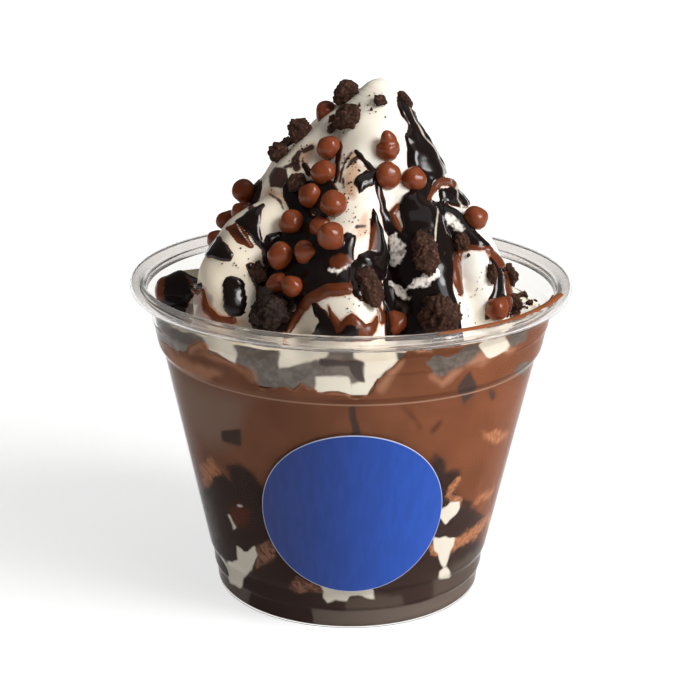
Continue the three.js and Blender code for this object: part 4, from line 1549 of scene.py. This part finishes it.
DARK_POURS = (
    Patch("right flow", ((398, 92), (402, 91), (408, 100), (416, 112), (424, 125), (432, 140), (440, 152),
        (446, 164), (448, 173), (439, 181), (431, 188), (427, 200), (444, 202), (446, 215), (446, 240),
        (424, 246), (410, 238), (404, 232), (400, 216), (399, 203), (409, 190), (408, 167), (406, 152),
        (406, 136), (408, 124), (402, 118), (397, 108)), 0.9),
    Patch("right fall", ((388, 236), (404, 230), (424, 244), (438, 232), (436, 208), (440, 199),
        (448, 206), (454, 218), (454, 240), (453, 270), (455, 296), (461, 312), (462, 337), (386, 339),
        (384, 322), (383, 306), (381, 290), (384, 276), (387, 255))),
    Patch("right shoulder", ((439, 188), (455, 187), (464, 194), (472, 203), (466, 209), (452, 206),
        (440, 201))),
    Patch("under the swoosh", ((438, 206), (441, 200), (452, 207), (466, 216), (474, 226), (482, 238),
        (490, 246), (480, 249), (470, 246), (460, 248), (453, 256), (450, 245), (446, 222))),
    Patch("gap right of the tongue", ((486, 250), (492, 257), (501, 267), (505, 280), (504, 298),
        (500, 312), (485, 320), (487, 303), (494, 289), (495, 277), (489.5, 261)), 0.5),
    Patch("low at the right", ((503, 300), (512, 301), (521, 304), (521, 316), (505, 319), (498, 312)),
        0.5),
    Trail("arch to the blob", ((356.4, 151.8), (363, 159.5), (369.8, 168), (375.5, 174.8)), (3.5, 4, 5, 6),
        0.5),
    Patch("blob in the middle", ((354.5, 183.4), (359.3, 174.8), (366, 170), (375.5, 173), (379.4, 180.5),
        (373.6, 185.3), (365, 188.2), (359.3, 193), (357.8, 187.2)), 0.7),
    Trail("drip in the middle", ((376.5, 181), (380.3, 194), (383.2, 210), (391, 229), (400, 240)),
        (6, 6, 8, 13, 16)),
    # Painted shade: thin dark sauce laid in the crevices between and behind the balls, partly sauce and
    # partly the shade that falls there.
    Trail("sauce and painted shade in the crevice beside the middle", ((341, 140), (339, 155), (337, 170), (336, 180)), (3, 5, 5, 4), 0.4),
    Patch("sauce and painted shade in the crevice over the balls", ((300, 180), (331, 181), (338, 190), (339, 200), (332, 211),
        (322, 222), (311, 214), (303, 197)), 0.4),
    Trail("sauce and painted shade in the crevice on the ridge", ((305, 166), (309, 173)), (7, 7), 0.4),
    Patch("sauce and painted shade behind the left balls", ((252, 182), (262, 179), (263, 190), (262, 198), (255, 206), (249, 210),
        (247, 203)), 0.3),
    Patch("wedge", ((373, 207), (377, 215), (383, 231), (387, 247), (389, 262), (386, 280), (372, 282),
        (356, 262), (359, 255), (370, 249), (372, 235), (370, 222)), 0.7),
    Patch("pool in the middle", ((347, 232), (356, 236), (355, 248), (353, 262), (352, 276), (350, 283),
        (350, 286), (330, 285), (316, 292), (302, 304), (290, 312), (278, 300), (276, 284), (284, 270),
        (296, 256), (318, 244), (334, 238))),
    Patch("bed of the balls", ((290, 192), (304, 196), (312, 214), (326, 222), (338, 224), (345, 236),
        (318, 246), (296, 258), (284, 270), (272, 262), (276, 244), (284, 228), (292, 214), (284, 200))),
    Patch("gap beside the low lobe", ((310, 300), (318, 305), (326, 311), (330, 318), (338, 326),
        (338, 339), (310, 339), (318, 322), (313, 312))),
    Patch("bed of the long cookie", ((350, 262), (362, 258), (380, 270), (384, 292), (378, 306),
        (366, 304), (354, 296), (350, 284))),
    Patch("wedge on the left lobe", ((264, 203), (258, 206), (246, 212), (235, 221), (244, 228),
        (252, 238), (261, 249), (264, 240), (260, 226))),
    Patch("triangle on the left lobe", ((218, 236), (211, 246), (203, 256), (223, 260.5), (231, 261),
        (233, 255), (228, 245))),
    Patch("band on the left lobe", ((226, 228), (236, 222), (240, 226), (249, 236), (254, 247), (247, 247),
        (236, 243), (230, 236)), 0.16),
    Trail("bed under the front ball", ((332, 239), (338, 243)), (14, 14), 1.7),
    Trail("bean on the left lobe", ((234, 287), (235, 305)), (22, 23), 1.2),
    Patch("side of the left lobe", ((281, 232), (264, 234), (262, 252), (266, 268), (262, 280), (256, 292),
        (256, 301), (250, 310), (248, 322), (258, 334), (290, 334), (296, 318), (288, 306), (280, 296),
        (276, 282), (284, 270), (276, 258))),
    Trail("smear behind the bean", ((250, 266), (257, 279), (262, 290)), (8, 10, 10)),
    Patch("run under the high cookie", ((283, 186), (289, 178), (300, 176), (304, 184), (302, 196),
        (306, 206), (300, 213), (290, 208), (284, 198))),
    Patch("core of the skirt", ((334, 335), (341, 330), (347, 324), (353, 322), (360, 328), (358, 336),
        (350, 340), (336, 340)), 0.9),
    Patch("lobe at the far left", ((158, 288), (163, 276), (172, 270), (184, 272), (200, 280), (202, 286),
        (190, 300), (184, 314), (160, 308), (157, 298)), 0.7),
)
MILK_POURS = (
    Trail("edge of the right flow", ((398, 206), (392, 214), (397, 226), (402, 234)), (5, 7, 7, 4), 0.7),
    Trail("swoosh", ((427, 201), (431, 190), (440, 182), (450, 182), (455, 188)), (4, 8, 8, 7, 4), 1.3),
    Trail("border of the tongue", ((484, 248), (470, 247), (459, 250), (456, 264), (457, 280), (461, 294)),
        (4, 5, 7, 9, 9, 4), 0.8),
    Trail("outer band", ((489, 250), (498, 262), (504, 272), (507, 283), (507, 296), (504, 308)),
        (7, 10, 13, 15, 15, 12), 0.9),
    Trail("arc over the low lobe", ((286, 335), (294, 321), (302, 308), (311, 298), (328, 290),
        (347, 289)), (5, 7, 9, 11, 13, 12), 0.9),
    Patch("skirt of the low lobe", ((328, 305), (335, 316), (341, 322), (346, 316), (352, 313), (359, 318),
        (366, 325), (372, 322), (377, 314), (379, 322), (376, 332), (370, 339), (350, 340), (336, 340),
        (331, 325)), 0.5),
    Trail("sliver by the low lobe", ((378, 305), (381, 314), (382, 322)), (4, 5, 5), 0.5),
    Trail("foot of the left lobe", ((202, 291), (206, 308), (216, 319), (234, 321)), (5, 8, 9, 6), 0.4),
    Patch("caramel in the middle", ((328, 258), (340, 250), (350, 252), (353, 262), (348, 274), (336, 276),
        (327, 270)), 0.8),
    Patch("glow in the wedge", ((373, 212), (377, 224), (380, 242), (378, 254), (368, 252), (370, 240),
        (371, 226)), 0.75),
    Trail("rim of the far lobe", ((172, 271), (165, 279), (162, 290), (164, 303)), (5, 8, 10, 8), 1.5),
    Trail("top of the far lobe", ((187, 278), (193, 285), (197, 292)), (6, 8, 5), 1.4),
)

THREADS = (
    Trail("thread by the swoosh", ((453, 184), (456, 192), (457, 201), (461, 207), (466, 208)),
        (0.9, 1.2, 1.2, 1.2, 0.9)),
    Trail("thread in the right fall", ((434, 208), (434.5, 241)), (0.9, 1.2)),
    Trail("line between the left bands", ((237, 224), (241, 232), (248, 241), (251, 246)),
        (1.0, 1.2, 1.2, 1.0)),
    Trail("thread down the right flow", ((407, 105), (413, 122), (421, 137), (432, 152), (444, 170)),
        (0.8, 1.0, 1.0, 1.0, 0.8)),
)
# Painted highlights on the sauce.
GLINTS = (
    Trail("shine beside the wedge", ((395, 240), (399, 250), (396, 262)), (11, 16, 9)),
    Trail("shine low in the fall", ((390, 283), (400, 290), (410, 299)), (4, 9, 4)),
    Trail("shine by the fall's ball", ((412, 287), (424, 282), (434, 275)), (5, 12, 10)),
    Trail("shine under the swoosh", ((447, 218), (455, 224), (462, 231)), (6, 11, 5)),
    Trail("shine in the middle", ((330, 271), (338, 273), (345, 270)), (3, 5, 3)),
)


@dataclass(frozen=True)
class BackPour:
    """Sauce on a side that the photo doesn't show, along azimuths and heights, with its width."""

    path: Path
    width: float
    depth: float = 0.9


BACK_POURS = (
    BackPour(((118, 103), (114, 90), (110, 76), (108, 67)), 8.0),
    BackPour(((172, 101), (165, 86), (174, 72)), 8.0),
    BackPour(((-132, 99), (-126, 88), (-122, 74), (-118, 66)), 7.0),
    BackPour(((150, 96), (142, 84), (148, 78)), 4.0),
    BackPour(((-158, 92), (-152, 80), (-160, 70)), 5.0),
)


@dataclass(frozen=True)
class Sauce:
    """Poured sauce as a closed body over the mound.

    At each point of the mound the body stands off along the normal by the thickest of its pours. A pour's
    thickness rises from its edge as a quarter ellipse over the bead's width, and outside its edge it dives
    under the cream, so that the edge is where the two surfaces cross.
    """

    surface: MoundSurface
    mound: Mound
    bead_width: float = 2.0
    dive: float = 0.7
    deepest: float = 0.6
    under: float = 0.2
    uneven: float = 0.2
    uneven_length: float = 6.0
    uneven_seed: int = 12
    swell_span: tuple[float, float] = (0.4, 1.6)
    ragged: float = 0.12
    ragged_length: float = 3.2
    ragged_seed: int = 11
    milk_ragged: float = 0.6
    back_ragged: float = 2.0
    back_steps: int = 24
    wall_ease: tuple[float, float] = (0.2, 1.6)
    wall_dive: float = 0.3
    kept_below: float = 0.45

    def _thickness(self, cover: Array, depth: float) -> Array:
        """Thickness from how far inside a pour's edge a point is."""
        share = np.clip(cover / self.bead_width, 0, 1)
        dome = depth * np.sqrt(np.maximum(1 - (1 - share) ** 2, 0))
        return np.where(cover > 0, dome, np.maximum(self.dive * cover, -self.deepest))

    def _united(self, covers: Sequence[tuple[Array, float]]) -> Array:
        """The greatest thickness of several pours."""
        return np.max([self._thickness(cover, depth) for cover, depth in covers], axis=0)

    def _back_cover(self, pour: BackPour) -> Array:
        """How far inside a pour of the unseen sides points are: half its width less the distance to it."""
        azimuth, height = np.array(pour.path, dtype=float).T
        marks = np.linspace(0, len(azimuth) - 1, self.back_steps)
        steps = np.arange(len(azimuth))
        spots = self.mound.on_surface(np.interp(marks, steps, azimuth), np.interp(marks, steps, height))
        apart = np.full(len(self.surface.points), 1e3)
        for spot in spots:
            apart = np.minimum(apart, np.linalg.norm(self.surface.points - spot, axis=1))
        return pour.width / 2 - apart

    def build(self, effects: Effects) -> None:
        """Builds the body from the mound's grid, keeping the quads that rise near or over the cream."""
        points, normals = self.surface.points, self.surface.normals
        wobble = self.ragged * Wobble(self.ragged_length, self.ragged_seed).at(points)
        swell = 1 + self.uneven * Wobble(self.uneven_length, self.uneven_seed).at(points)
        swell = np.clip(swell, *self.swell_span)
        cover = self.surface.front_cover
        dark = [(cover(points, [pour]) + wobble, pour.depth) for pour in DARK_POURS]
        dark += [(self._back_cover(pour) + self.back_ragged * wobble, pour.depth) for pour in BACK_POURS]
        milk = [(cover(points, [pour]) + self.milk_ragged * wobble, pour.depth) for pour in MILK_POURS]
        dark_depth, milk_depth = self._united(dark), self._united(milk)
        gap = self.mound.layers.held(points[:, 2]) - np.hypot(points[:, 0], points[:, 1])
        ease = smoothstep(gap, *self.wall_ease)
        depth = np.maximum(dark_depth, milk_depth)
        depth = np.where(depth > 0, depth * ease * swell, depth) - self.wall_dive * (1 - ease)
        quads = self.surface.quads
        kept = quads[depth[quads].max(axis=1) > -self.kept_below]
        outer = points + normals * depth[:, None]
        inner = points - normals * (self.deepest + self.under)
        skin, source = shell(outer, inner, kept)
        skin.values["depth"] = depth[source]
        skin.values["milk"] = (milk_depth - np.maximum(dark_depth, 0.0))[source]
        skin.values["thread"] = cover(points, THREADS)[source]
        # Field of the painted highlights.
        skin.values["glint"] = cover(points, GLINTS)[source]
        piece = skin.piece("sauce", SauceFinish().make(effects))


# Toppings


@dataclass(frozen=True)
class Balls:
    """The chocolate balls: each a slightly lumpy ball in its node's place."""

    nodes: tuple[str, ...]
    melted: str
    lump: float = 0.05
    lump_length: float = 1.6
    melted_lump_length: float = 1.2
    rows: int = 22
    columns: int = 36
    knob_share: float = 0.71
    knob_rise: float = 0.92
    melt: float = 0.25
    seed: int = 99

    def _ball(self, node: str, seed: int) -> Skin:
        """A ball round the middle of a node's box: its radius times one plus a small smooth wobble."""
        low, high = (np.array(corner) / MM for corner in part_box(node))
        middle, radius = (low + high) / 2, (high - low).min() / 2
        ways = ball_ways(self.rows, self.columns)
        reach = radius * (1 + self.lump * Wobble(self.lump_length, seed).at(ways))
        return ball_skin(middle + ways * reach[:, None], self.rows, self.columns)

    def _melted_ball(self, seed: int) -> Skin:
        """Two balls run together: from the lower one's middle, the softened greater exit of both."""
        low, high = (np.array(corner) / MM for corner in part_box(self.melted))
        radius = (high[0] - low[0]) / 2
        middle = np.array([(low[0] + high[0]) / 2, (low[1] + high[1]) / 2, low[2] + radius])
        ways = ball_ways(self.rows, self.columns)
        rise, knob = self.knob_rise * radius, self.knob_share * radius
        along = ways[:, 2] * rise
        aside = np.maximum(knob**2 - rise**2 + along**2, 0)
        upper = along + np.sqrt(aside)
        reach = self.melt * np.log(np.exp(radius / self.melt) + np.exp(upper / self.melt))
        reach = reach * (1 + self.lump * Wobble(self.melted_lump_length, seed).at(ways))
        return ball_skin(middle + ways * reach[:, None], self.rows, self.columns)

    def build(self, effects: Effects) -> None:
        """Builds all the balls as one piece."""
        skins = [self._ball(node, self.seed + number) for number, node in enumerate(self.nodes, 1)]
        skins.append(self._melted_ball(self.seed))
        piece = joined(skins).piece("chocolate_balls", MilkChocolate().make(effects))
        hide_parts(*self.nodes, self.melted)


@dataclass(frozen=True)
class Cookies:
    """The broken cookie: each chunk keeps its node's form under a coarse crumb."""

    frame: dict[str, Any]
    nodes: tuple[str, ...]
    rows: int = 40
    columns: int = 64
    crumb: float = 0.3
    crumb_length: float = 4.08
    ridge: float = 1.6
    grit: float = 0.16
    grit_length: float = 1.0
    full_radius: float = 3.0
    size_span: tuple[float, float] = (0.5, 1.2)
    seed: int = 300
    seed_step: int = 7
    wet_nodes: tuple[str, ...] = ("cookie_chunk_10",)

    def _chunk(self, node: str, seed: int) -> Skin:
        """A chunk: rays from the middle of its solid meet its triangles, and each point is then pushed in
        or out by two sizes of noise.

        Args:
            node: The chunk's node.
            seed: Seed of its crumb.

        Returns:
            The skin.
        """
        mesh = self.frame["nodes"][node].data
        mesh.calc_loop_triangles()
        corners = np.zeros(len(mesh.vertices) * 3)
        mesh.vertices.foreach_get("co", corners)
        corners = corners.reshape(-1, 3) / MM
        index = np.zeros(len(mesh.loop_triangles) * 3, dtype=np.int32)
        mesh.loop_triangles.foreach_get("vertices", index)
        triangles = corners[index.reshape(-1, 3)]
        middle = (corners.min(axis=0) + corners.max(axis=0)) / 2
        ways = ball_ways(self.rows, self.columns)
        reach = self._reach(triangles - middle, ways)
        points = ways * reach[:, None]
        crumb = self.crumb * (1 - self.ridge * np.abs(Wobble(self.crumb_length, seed).at(points)))
        grit = self.grit * Wobble(self.grit_length, seed + 1).at(points)
        size = np.clip(reach.mean() / self.full_radius, *self.size_span)
        points = middle + ways * (reach + size * (crumb + grit))[:, None]
        points[:, 2] = np.minimum(points[:, 2], corners[:, 2].max())
        skin = ball_skin(points, self.rows, self.columns)
        skin.values["wet"] = np.full(len(skin.points), float(node in self.wet_nodes))
        return skin

    @staticmethod
    def _reach(triangles: Array, ways: Array) -> Array:
        """Distance along unit rays from the origin to the triangles round it, by Cramer's rule on each ray
        and triangle: the ray's multiple and the two edge shares solve the three equations."""
        corner = triangles[:, 0]
        first, second = triangles[:, 1] - corner, triangles[:, 2] - corner
        across = np.cross(ways[:, None], second[None])
        scale = (across * first).sum(axis=-1)
        scale = np.where(np.abs(scale) < 1e-9, 1e-9, scale)
        share = -(across * corner).sum(axis=-1) / scale
        twist = np.cross(-corner, first)
        other = (ways @ twist.T) / scale
        far = (second * twist).sum(axis=-1) / scale
        slack = 1e-4
        hit = (share > -slack) & (other > -slack) & (share + other < 1 + slack) & (far > 0)
        return np.where(hit, far, 0.0).max(axis=1)

    def build(self, effects: Effects) -> None:
        """Builds all the chunks as one piece."""
        seeds = range(self.seed, self.seed + self.seed_step * len(self.nodes), self.seed_step)
        skins = [self._chunk(node, seed) for node, seed in zip(self.nodes, seeds)]
        piece = joined(skins).piece("cookie_chunks", DarkCookie().make(effects))
        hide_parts(*self.nodes)


@dataclass(frozen=True)
class Scatter:
    """A patch of loose crumbs: its middle and reach in photo pixels, how many, and their largest size."""

    middle: Pixel
    reach: float
    count: int
    size: float


CRUMB_PATCHES = (
    Scatter((350, 112), 22, 16, 0.9),
    Scatter((375, 100), 24, 12, 0.45),
    Scatter((290, 150), 20, 16, 0.9),
    Scatter((300, 160), 12, 16, 0.6),
    Scatter((262, 182), 16, 10, 0.8),
    Scatter((405, 108), 9, 18, 1.2),
    Scatter((350, 166), 14, 26, 0.5),
    Scatter((345, 192), 18, 30, 0.6),
    Scatter((338, 212), 12, 14, 0.5),
    Scatter((365, 225), 14, 8, 0.4),
    Scatter((425, 250), 18, 14, 1.0),
    Scatter((437, 305), 24, 14, 1.0),
    Scatter((365, 288), 16, 10, 0.8),
    Scatter((275, 315), 18, 12, 1.0),
    Scatter((300, 190), 14, 10, 0.9),
    Scatter((460, 240), 10, 16, 1.6),
    Scatter((500, 270), 12, 10, 1.3),
    Scatter((525, 301), 9, 22, 1.9),
    Scatter((512, 308), 8, 8, 1.4),
    Scatter((475, 290), 26, 12, 0.4),
    Scatter((232, 268), 22, 12, 0.4),
    Scatter((350, 308), 16, 8, 0.4),
)
CHIPS = (((334.0, 121.0), 2.6), ((333.0, 130.0), 2.2), ((323.0, 117.0), 1.6))
BACK_CRUMBS = (
    (130.0, 96.0, 12), (150.0, 78.0, 14), (-165.0, 82.0, 14), (-135.0, 95.0, 10), (100.0, 72.0, 10),
)


@dataclass(frozen=True)
class Crumbs:
    """Loose crumbs of cookie that lie on the mound and its sauce."""

    surface: MoundSurface
    mound: Mound
    seed: int = 41
    rows: int = 5
    columns: int = 9
    smallest: float = 0.22
    lift: float = 0.75
    back_turn: float = 7.0
    back_rise: float = 2.5
    back_size: float = 0.8
    rough_span: tuple[float, float] = (0.65, 1.35)
    stretch_span: tuple[float, float] = (0.6, 1.2)

    def build(self, effects: Effects) -> None:
        """Builds the crumbs as one piece: a few-sided ball for each, with its corners pushed in and out,
        stretched by chance along its three axes and set on the surface."""
        draw = np.random.default_rng(self.seed)
        pixels, sizes = [], []
        for patch in CRUMB_PATCHES:
            pixels.append(draw.normal(patch.middle, patch.reach / 2, (patch.count, 2)))
            sizes.append(self.smallest + (patch.size - self.smallest) * draw.random(patch.count) ** 2)
        pixels.append(np.array([place for place, _ in CHIPS]))
        sizes.append(np.array([size for _, size in CHIPS]))
        met, spots, normals = self.surface.cast(np.concatenate(pixels))
        sizes = np.concatenate(sizes)[met]
        azimuth, height, count = np.array(BACK_CRUMBS).T
        counts = count.astype(int)
        around = np.repeat(azimuth, counts) + draw.normal(0, self.back_turn, counts.sum())
        level = np.repeat(height, counts) + draw.normal(0, self.back_rise, counts.sum())
        back, back_normals = self.surface.nearest(self.mound.on_surface(around, level))
        spots = np.concatenate([spots, back])
        normals = unit(np.concatenate([normals, back_normals]))
        sizes = np.concatenate([sizes, self.smallest + self.back_size * draw.random(len(back)) ** 2])
        ways = ball_ways(self.rows, self.columns)
        rough = draw.uniform(*self.rough_span, (len(spots), len(ways), 1))
        stretch = draw.uniform(*self.stretch_span, (len(spots), 1, 3))
        blobs = ways[None] * rough * stretch * (sizes / 2)[:, None, None]
        side = unit(np.cross(normals, draw.normal(size=normals.shape)))
        basis = np.stack([side, np.cross(normals, side), normals], axis=1)
        raised = spots + normals * (self.lift * sizes / 2)[:, None]
        placed = np.einsum("npk,nkj->npj", blobs, basis) + raised[:, None]
        skins = [ball_skin(blob, self.rows, self.columns) for blob in placed]
        piece = joined(skins).piece("cookie_crumbs", DarkCookie().make(effects))


@dataclass(frozen=True)
class WallFilm:
    """A film of milk chocolate left on the inner wall above the contents.

    It is a closed sheet over azimuth and height that follows the wall just inside its thickness, kept where
    it lies below the chocolate's shore.
    """

    layers: Layers
    lowest: float = 57.4
    highest: float = 71.4
    reach: float = 112.0
    thickness: float = 0.3
    pale_edge: float = 0.35
    stand: float = 0.06
    ragged: float = 0.35
    ragged_length: float = 4.0
    ragged_seed: int = 23
    fade: float = 4.0
    fade_span: tuple[float, float] = (92.0, 110.0)
    columns: int = 420
    rows: int = 60

    def build(self, effects: Effects) -> None:
        """Builds the film."""
        azimuth = np.linspace(-self.reach, self.reach, self.columns)
        height = np.linspace(self.lowest, self.highest, self.rows)
        level, around = np.meshgrid(height, azimuth, indexing="ij")
        ways = spoke(around)
        lift = UP * level[..., None]
        outer = (ways * (self.layers.held(level) + self.stand)[..., None] + lift).reshape(-1, 3)
        inner_radius = self.layers.cup.inside(level) - self.thickness
        inner = (ways * inner_radius[..., None] + lift).reshape(-1, 3)
        cover = below_shore(VIEW.pixels(outer)[:, :2], MILK_SHORE)
        cover = cover + self.ragged * Wobble(self.ragged_length, self.ragged_seed).at(outer)
        cover = cover - self.fade * smoothstep(np.abs(azimuth_of(outer)), *self.fade_span)
        skin, source = kept_sheet(outer, inner, cover, self.rows)
        fields = {**wall_fields(outer), "edge": self.pale_edge - cover}
        skin.values = {key: value[source] for key, value in fields.items()}
        piece = skin.piece("wall_film", LayerFinish("milk_film", coats=FILM_COATS).make(effects))


@dataclass(frozen=True)
class LipFilm:
    """A line of caramel on the rolled rim, where it turns in.

    It is a closed sheet over azimuth and the curl's own angle that lies on the curl, kept under its stroke
    where the curl is turned to the camera.
    """

    cup: Cup
    line: Trail = Trail(
        "caramel along the lip",
        ((440, 334), (462, 330), (485, 325), (507, 319), (520, 314.5), (535, 309), (549, 302.5),
            (560, 295)),
        (2.5, 4.5, 6, 6.5, 6.5, 6.5, 6, 5),
    )
    azimuths: tuple[float, float] = (14.0, 96.0)
    angles: tuple[float, float] = (60.0, 185.0)
    thickness: float = 0.16
    ragged: float = 0.12
    ragged_length: float = 3.0
    ragged_seed: int = 27
    least_facing: float = -0.05
    columns: int = 300
    rows: int = 70

    def build(self, effects: Effects) -> None:
        """Builds the line."""
        angles = np.radians(np.linspace(*self.angles, self.rows))
        azimuths = np.linspace(*self.azimuths, self.columns)
        angle, around = np.meshgrid(angles, azimuths, indexing="ij")
        ways = spoke(around)
        normal = (ways * np.cos(angle)[..., None] + UP * np.sin(angle)[..., None]).reshape(-1, 3)
        middle = (ways * (self.cup.rim_radius - self.cup.bead)).reshape(-1, 3)
        middle = middle + UP * (self.cup.rim_top - self.cup.bead)
        outer = middle + normal * (self.cup.bead + self.thickness / 2)
        inner = middle + normal * (self.cup.bead - self.thickness / 2)
        facing = (normal * unit(VIEW.eye() - outer)).sum(axis=1)
        cover = blots(VIEW.pixels(outer)[:, :2], [self.line])
        cover = cover + self.ragged * Wobble(self.ragged_length, self.ragged_seed).at(outer)
        cover = np.where(facing > self.least_facing, cover, -1.0)
        skin, _ = kept_sheet(outer, inner, cover, self.rows)
        piece = skin.piece("lip_caramel", LayerFinish("caramel", CARAMEL, CARAMEL, ()).make(effects))


# Studio


class Lamp(Enum):
    """Soft lamps as where they hang in metres, their size in metres and their power in watts."""

    KEY = ((0.58, -0.42, 0.42), 0.45, 3.0)
    TOP = ((0.16, 0.02, 0.80), 0.60, 0.7)

    def add(self, aim: Vector) -> None:
        """Hangs the lamp and turns it to a point."""
        place, size, power = self.value
        data = bpy.data.lights.new(self.name.lower(), "AREA")
        data.size = size
        data.energy = power
        lamp = linked(self.name.lower(), data)
        way = aim - Vector(place)
        lamp.matrix_world = Matrix.Translation(place) @ way.to_track_quat("-Z", "Y").to_matrix().to_4x4()


@dataclass(frozen=True)
class Studio:
    """A plain pale floor that glows a little, under soft white light, with lengths in metres."""

    floor_size: float = 8.0
    floor_colour: Colour = (0.4, 0.4, 0.4, 1.0)
    near_glow: float = 0.72
    far_glow: float = 0.86
    glow_span: tuple[float, float] = (0.18, 0.6)
    sky: Colour = (1.0, 0.98, 0.96, 1.0)
    sky_strength: float = 0.12
    sun_place: tuple[float, float, float] = (0.95, -0.45, 0.85)
    sun_angle: float = 24.0
    sun_power: float = 2.4
    aim: tuple[float, float, float] = (0.0, 0.0, 0.06)

    def build(self, effects: Effects) -> None:
        """Lays the floor, hangs the lamps and lights the sky."""
        scene = bpy.context.scene
        half = self.floor_size / 2
        mesh = bpy.data.meshes.new("floor")
        corners = [(-half, -half, 0), (half, -half, 0), (half, half, 0), (-half, half, 0)]
        mesh.from_pydata(corners, [], [(0, 1, 2, 3)])
        finish = Finish("floor", effects)
        nodes = finish.nodes
        apart = nodes.add("VectorMath", {0: nodes.place()}, operation="LENGTH").outputs["Value"]
        glow = nodes.ramp(apart, *self.glow_span, self.near_glow, self.far_glow)
        finish.set(colour=self.floor_colour, roughness=0.8)
        finish.set(emission_color=(1.0, 1.0, 1.0, 1.0), emission_strength=glow)
        mesh.materials.append(finish.material)
        floor = linked("floor", mesh)
        world = bpy.data.worlds.new("studio")
        world.use_nodes = True
        background = world.node_tree.nodes["Background"]
        background.inputs["Color"].default_value = self.sky
        background.inputs["Strength"].default_value = self.sky_strength
        scene.world = world
        sun = bpy.data.lights.new("window", "SUN")
        sun.energy = self.sun_power
        sun.angle = float(np.radians(self.sun_angle))
        window = linked("window", sun)
        window.matrix_world = Vector(self.sun_place).to_track_quat("Z", "Y").to_matrix().to_4x4()
        for lamp in Lamp:
            lamp.add(Vector(self.aim))
        scene.view_settings.view_transform = "Standard"


def numbered(nodes: dict[str, Any], stem: str) -> tuple[str, ...]:
    """The frame's nodes whose names start with a stem, in order."""
    return tuple(sorted(name for name in nodes if name.startswith(stem)))


def main() -> None:
    """Builds the pieces in order and reports each of them."""
    logging.basicConfig(level=logging.INFO, format="%(name)s %(message)s")
    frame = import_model()
    VIEW.add_camera()
    effects = Effects()
    Studio().build(effects)
    cup = Cup()
    cup.build(effects)
    Label(cup).build(effects)
    layers = Layers(cup)
    layers.build(effects)
    mound = Mound(layers)
    surface = mound.build(effects)
    Sauce(surface, mound).build(effects)
    Balls(numbered(frame["nodes"], "chocolate_ball"), "melted_ball").build(effects)
    Cookies(frame, numbered(frame["nodes"], "cookie_chunk")).build(effects)
    Crumbs(surface, mound).build(effects)
    WallFilm(layers).build(effects)
    LipFilm(cup).build(effects)


if __name__ == "__main__":
    main()
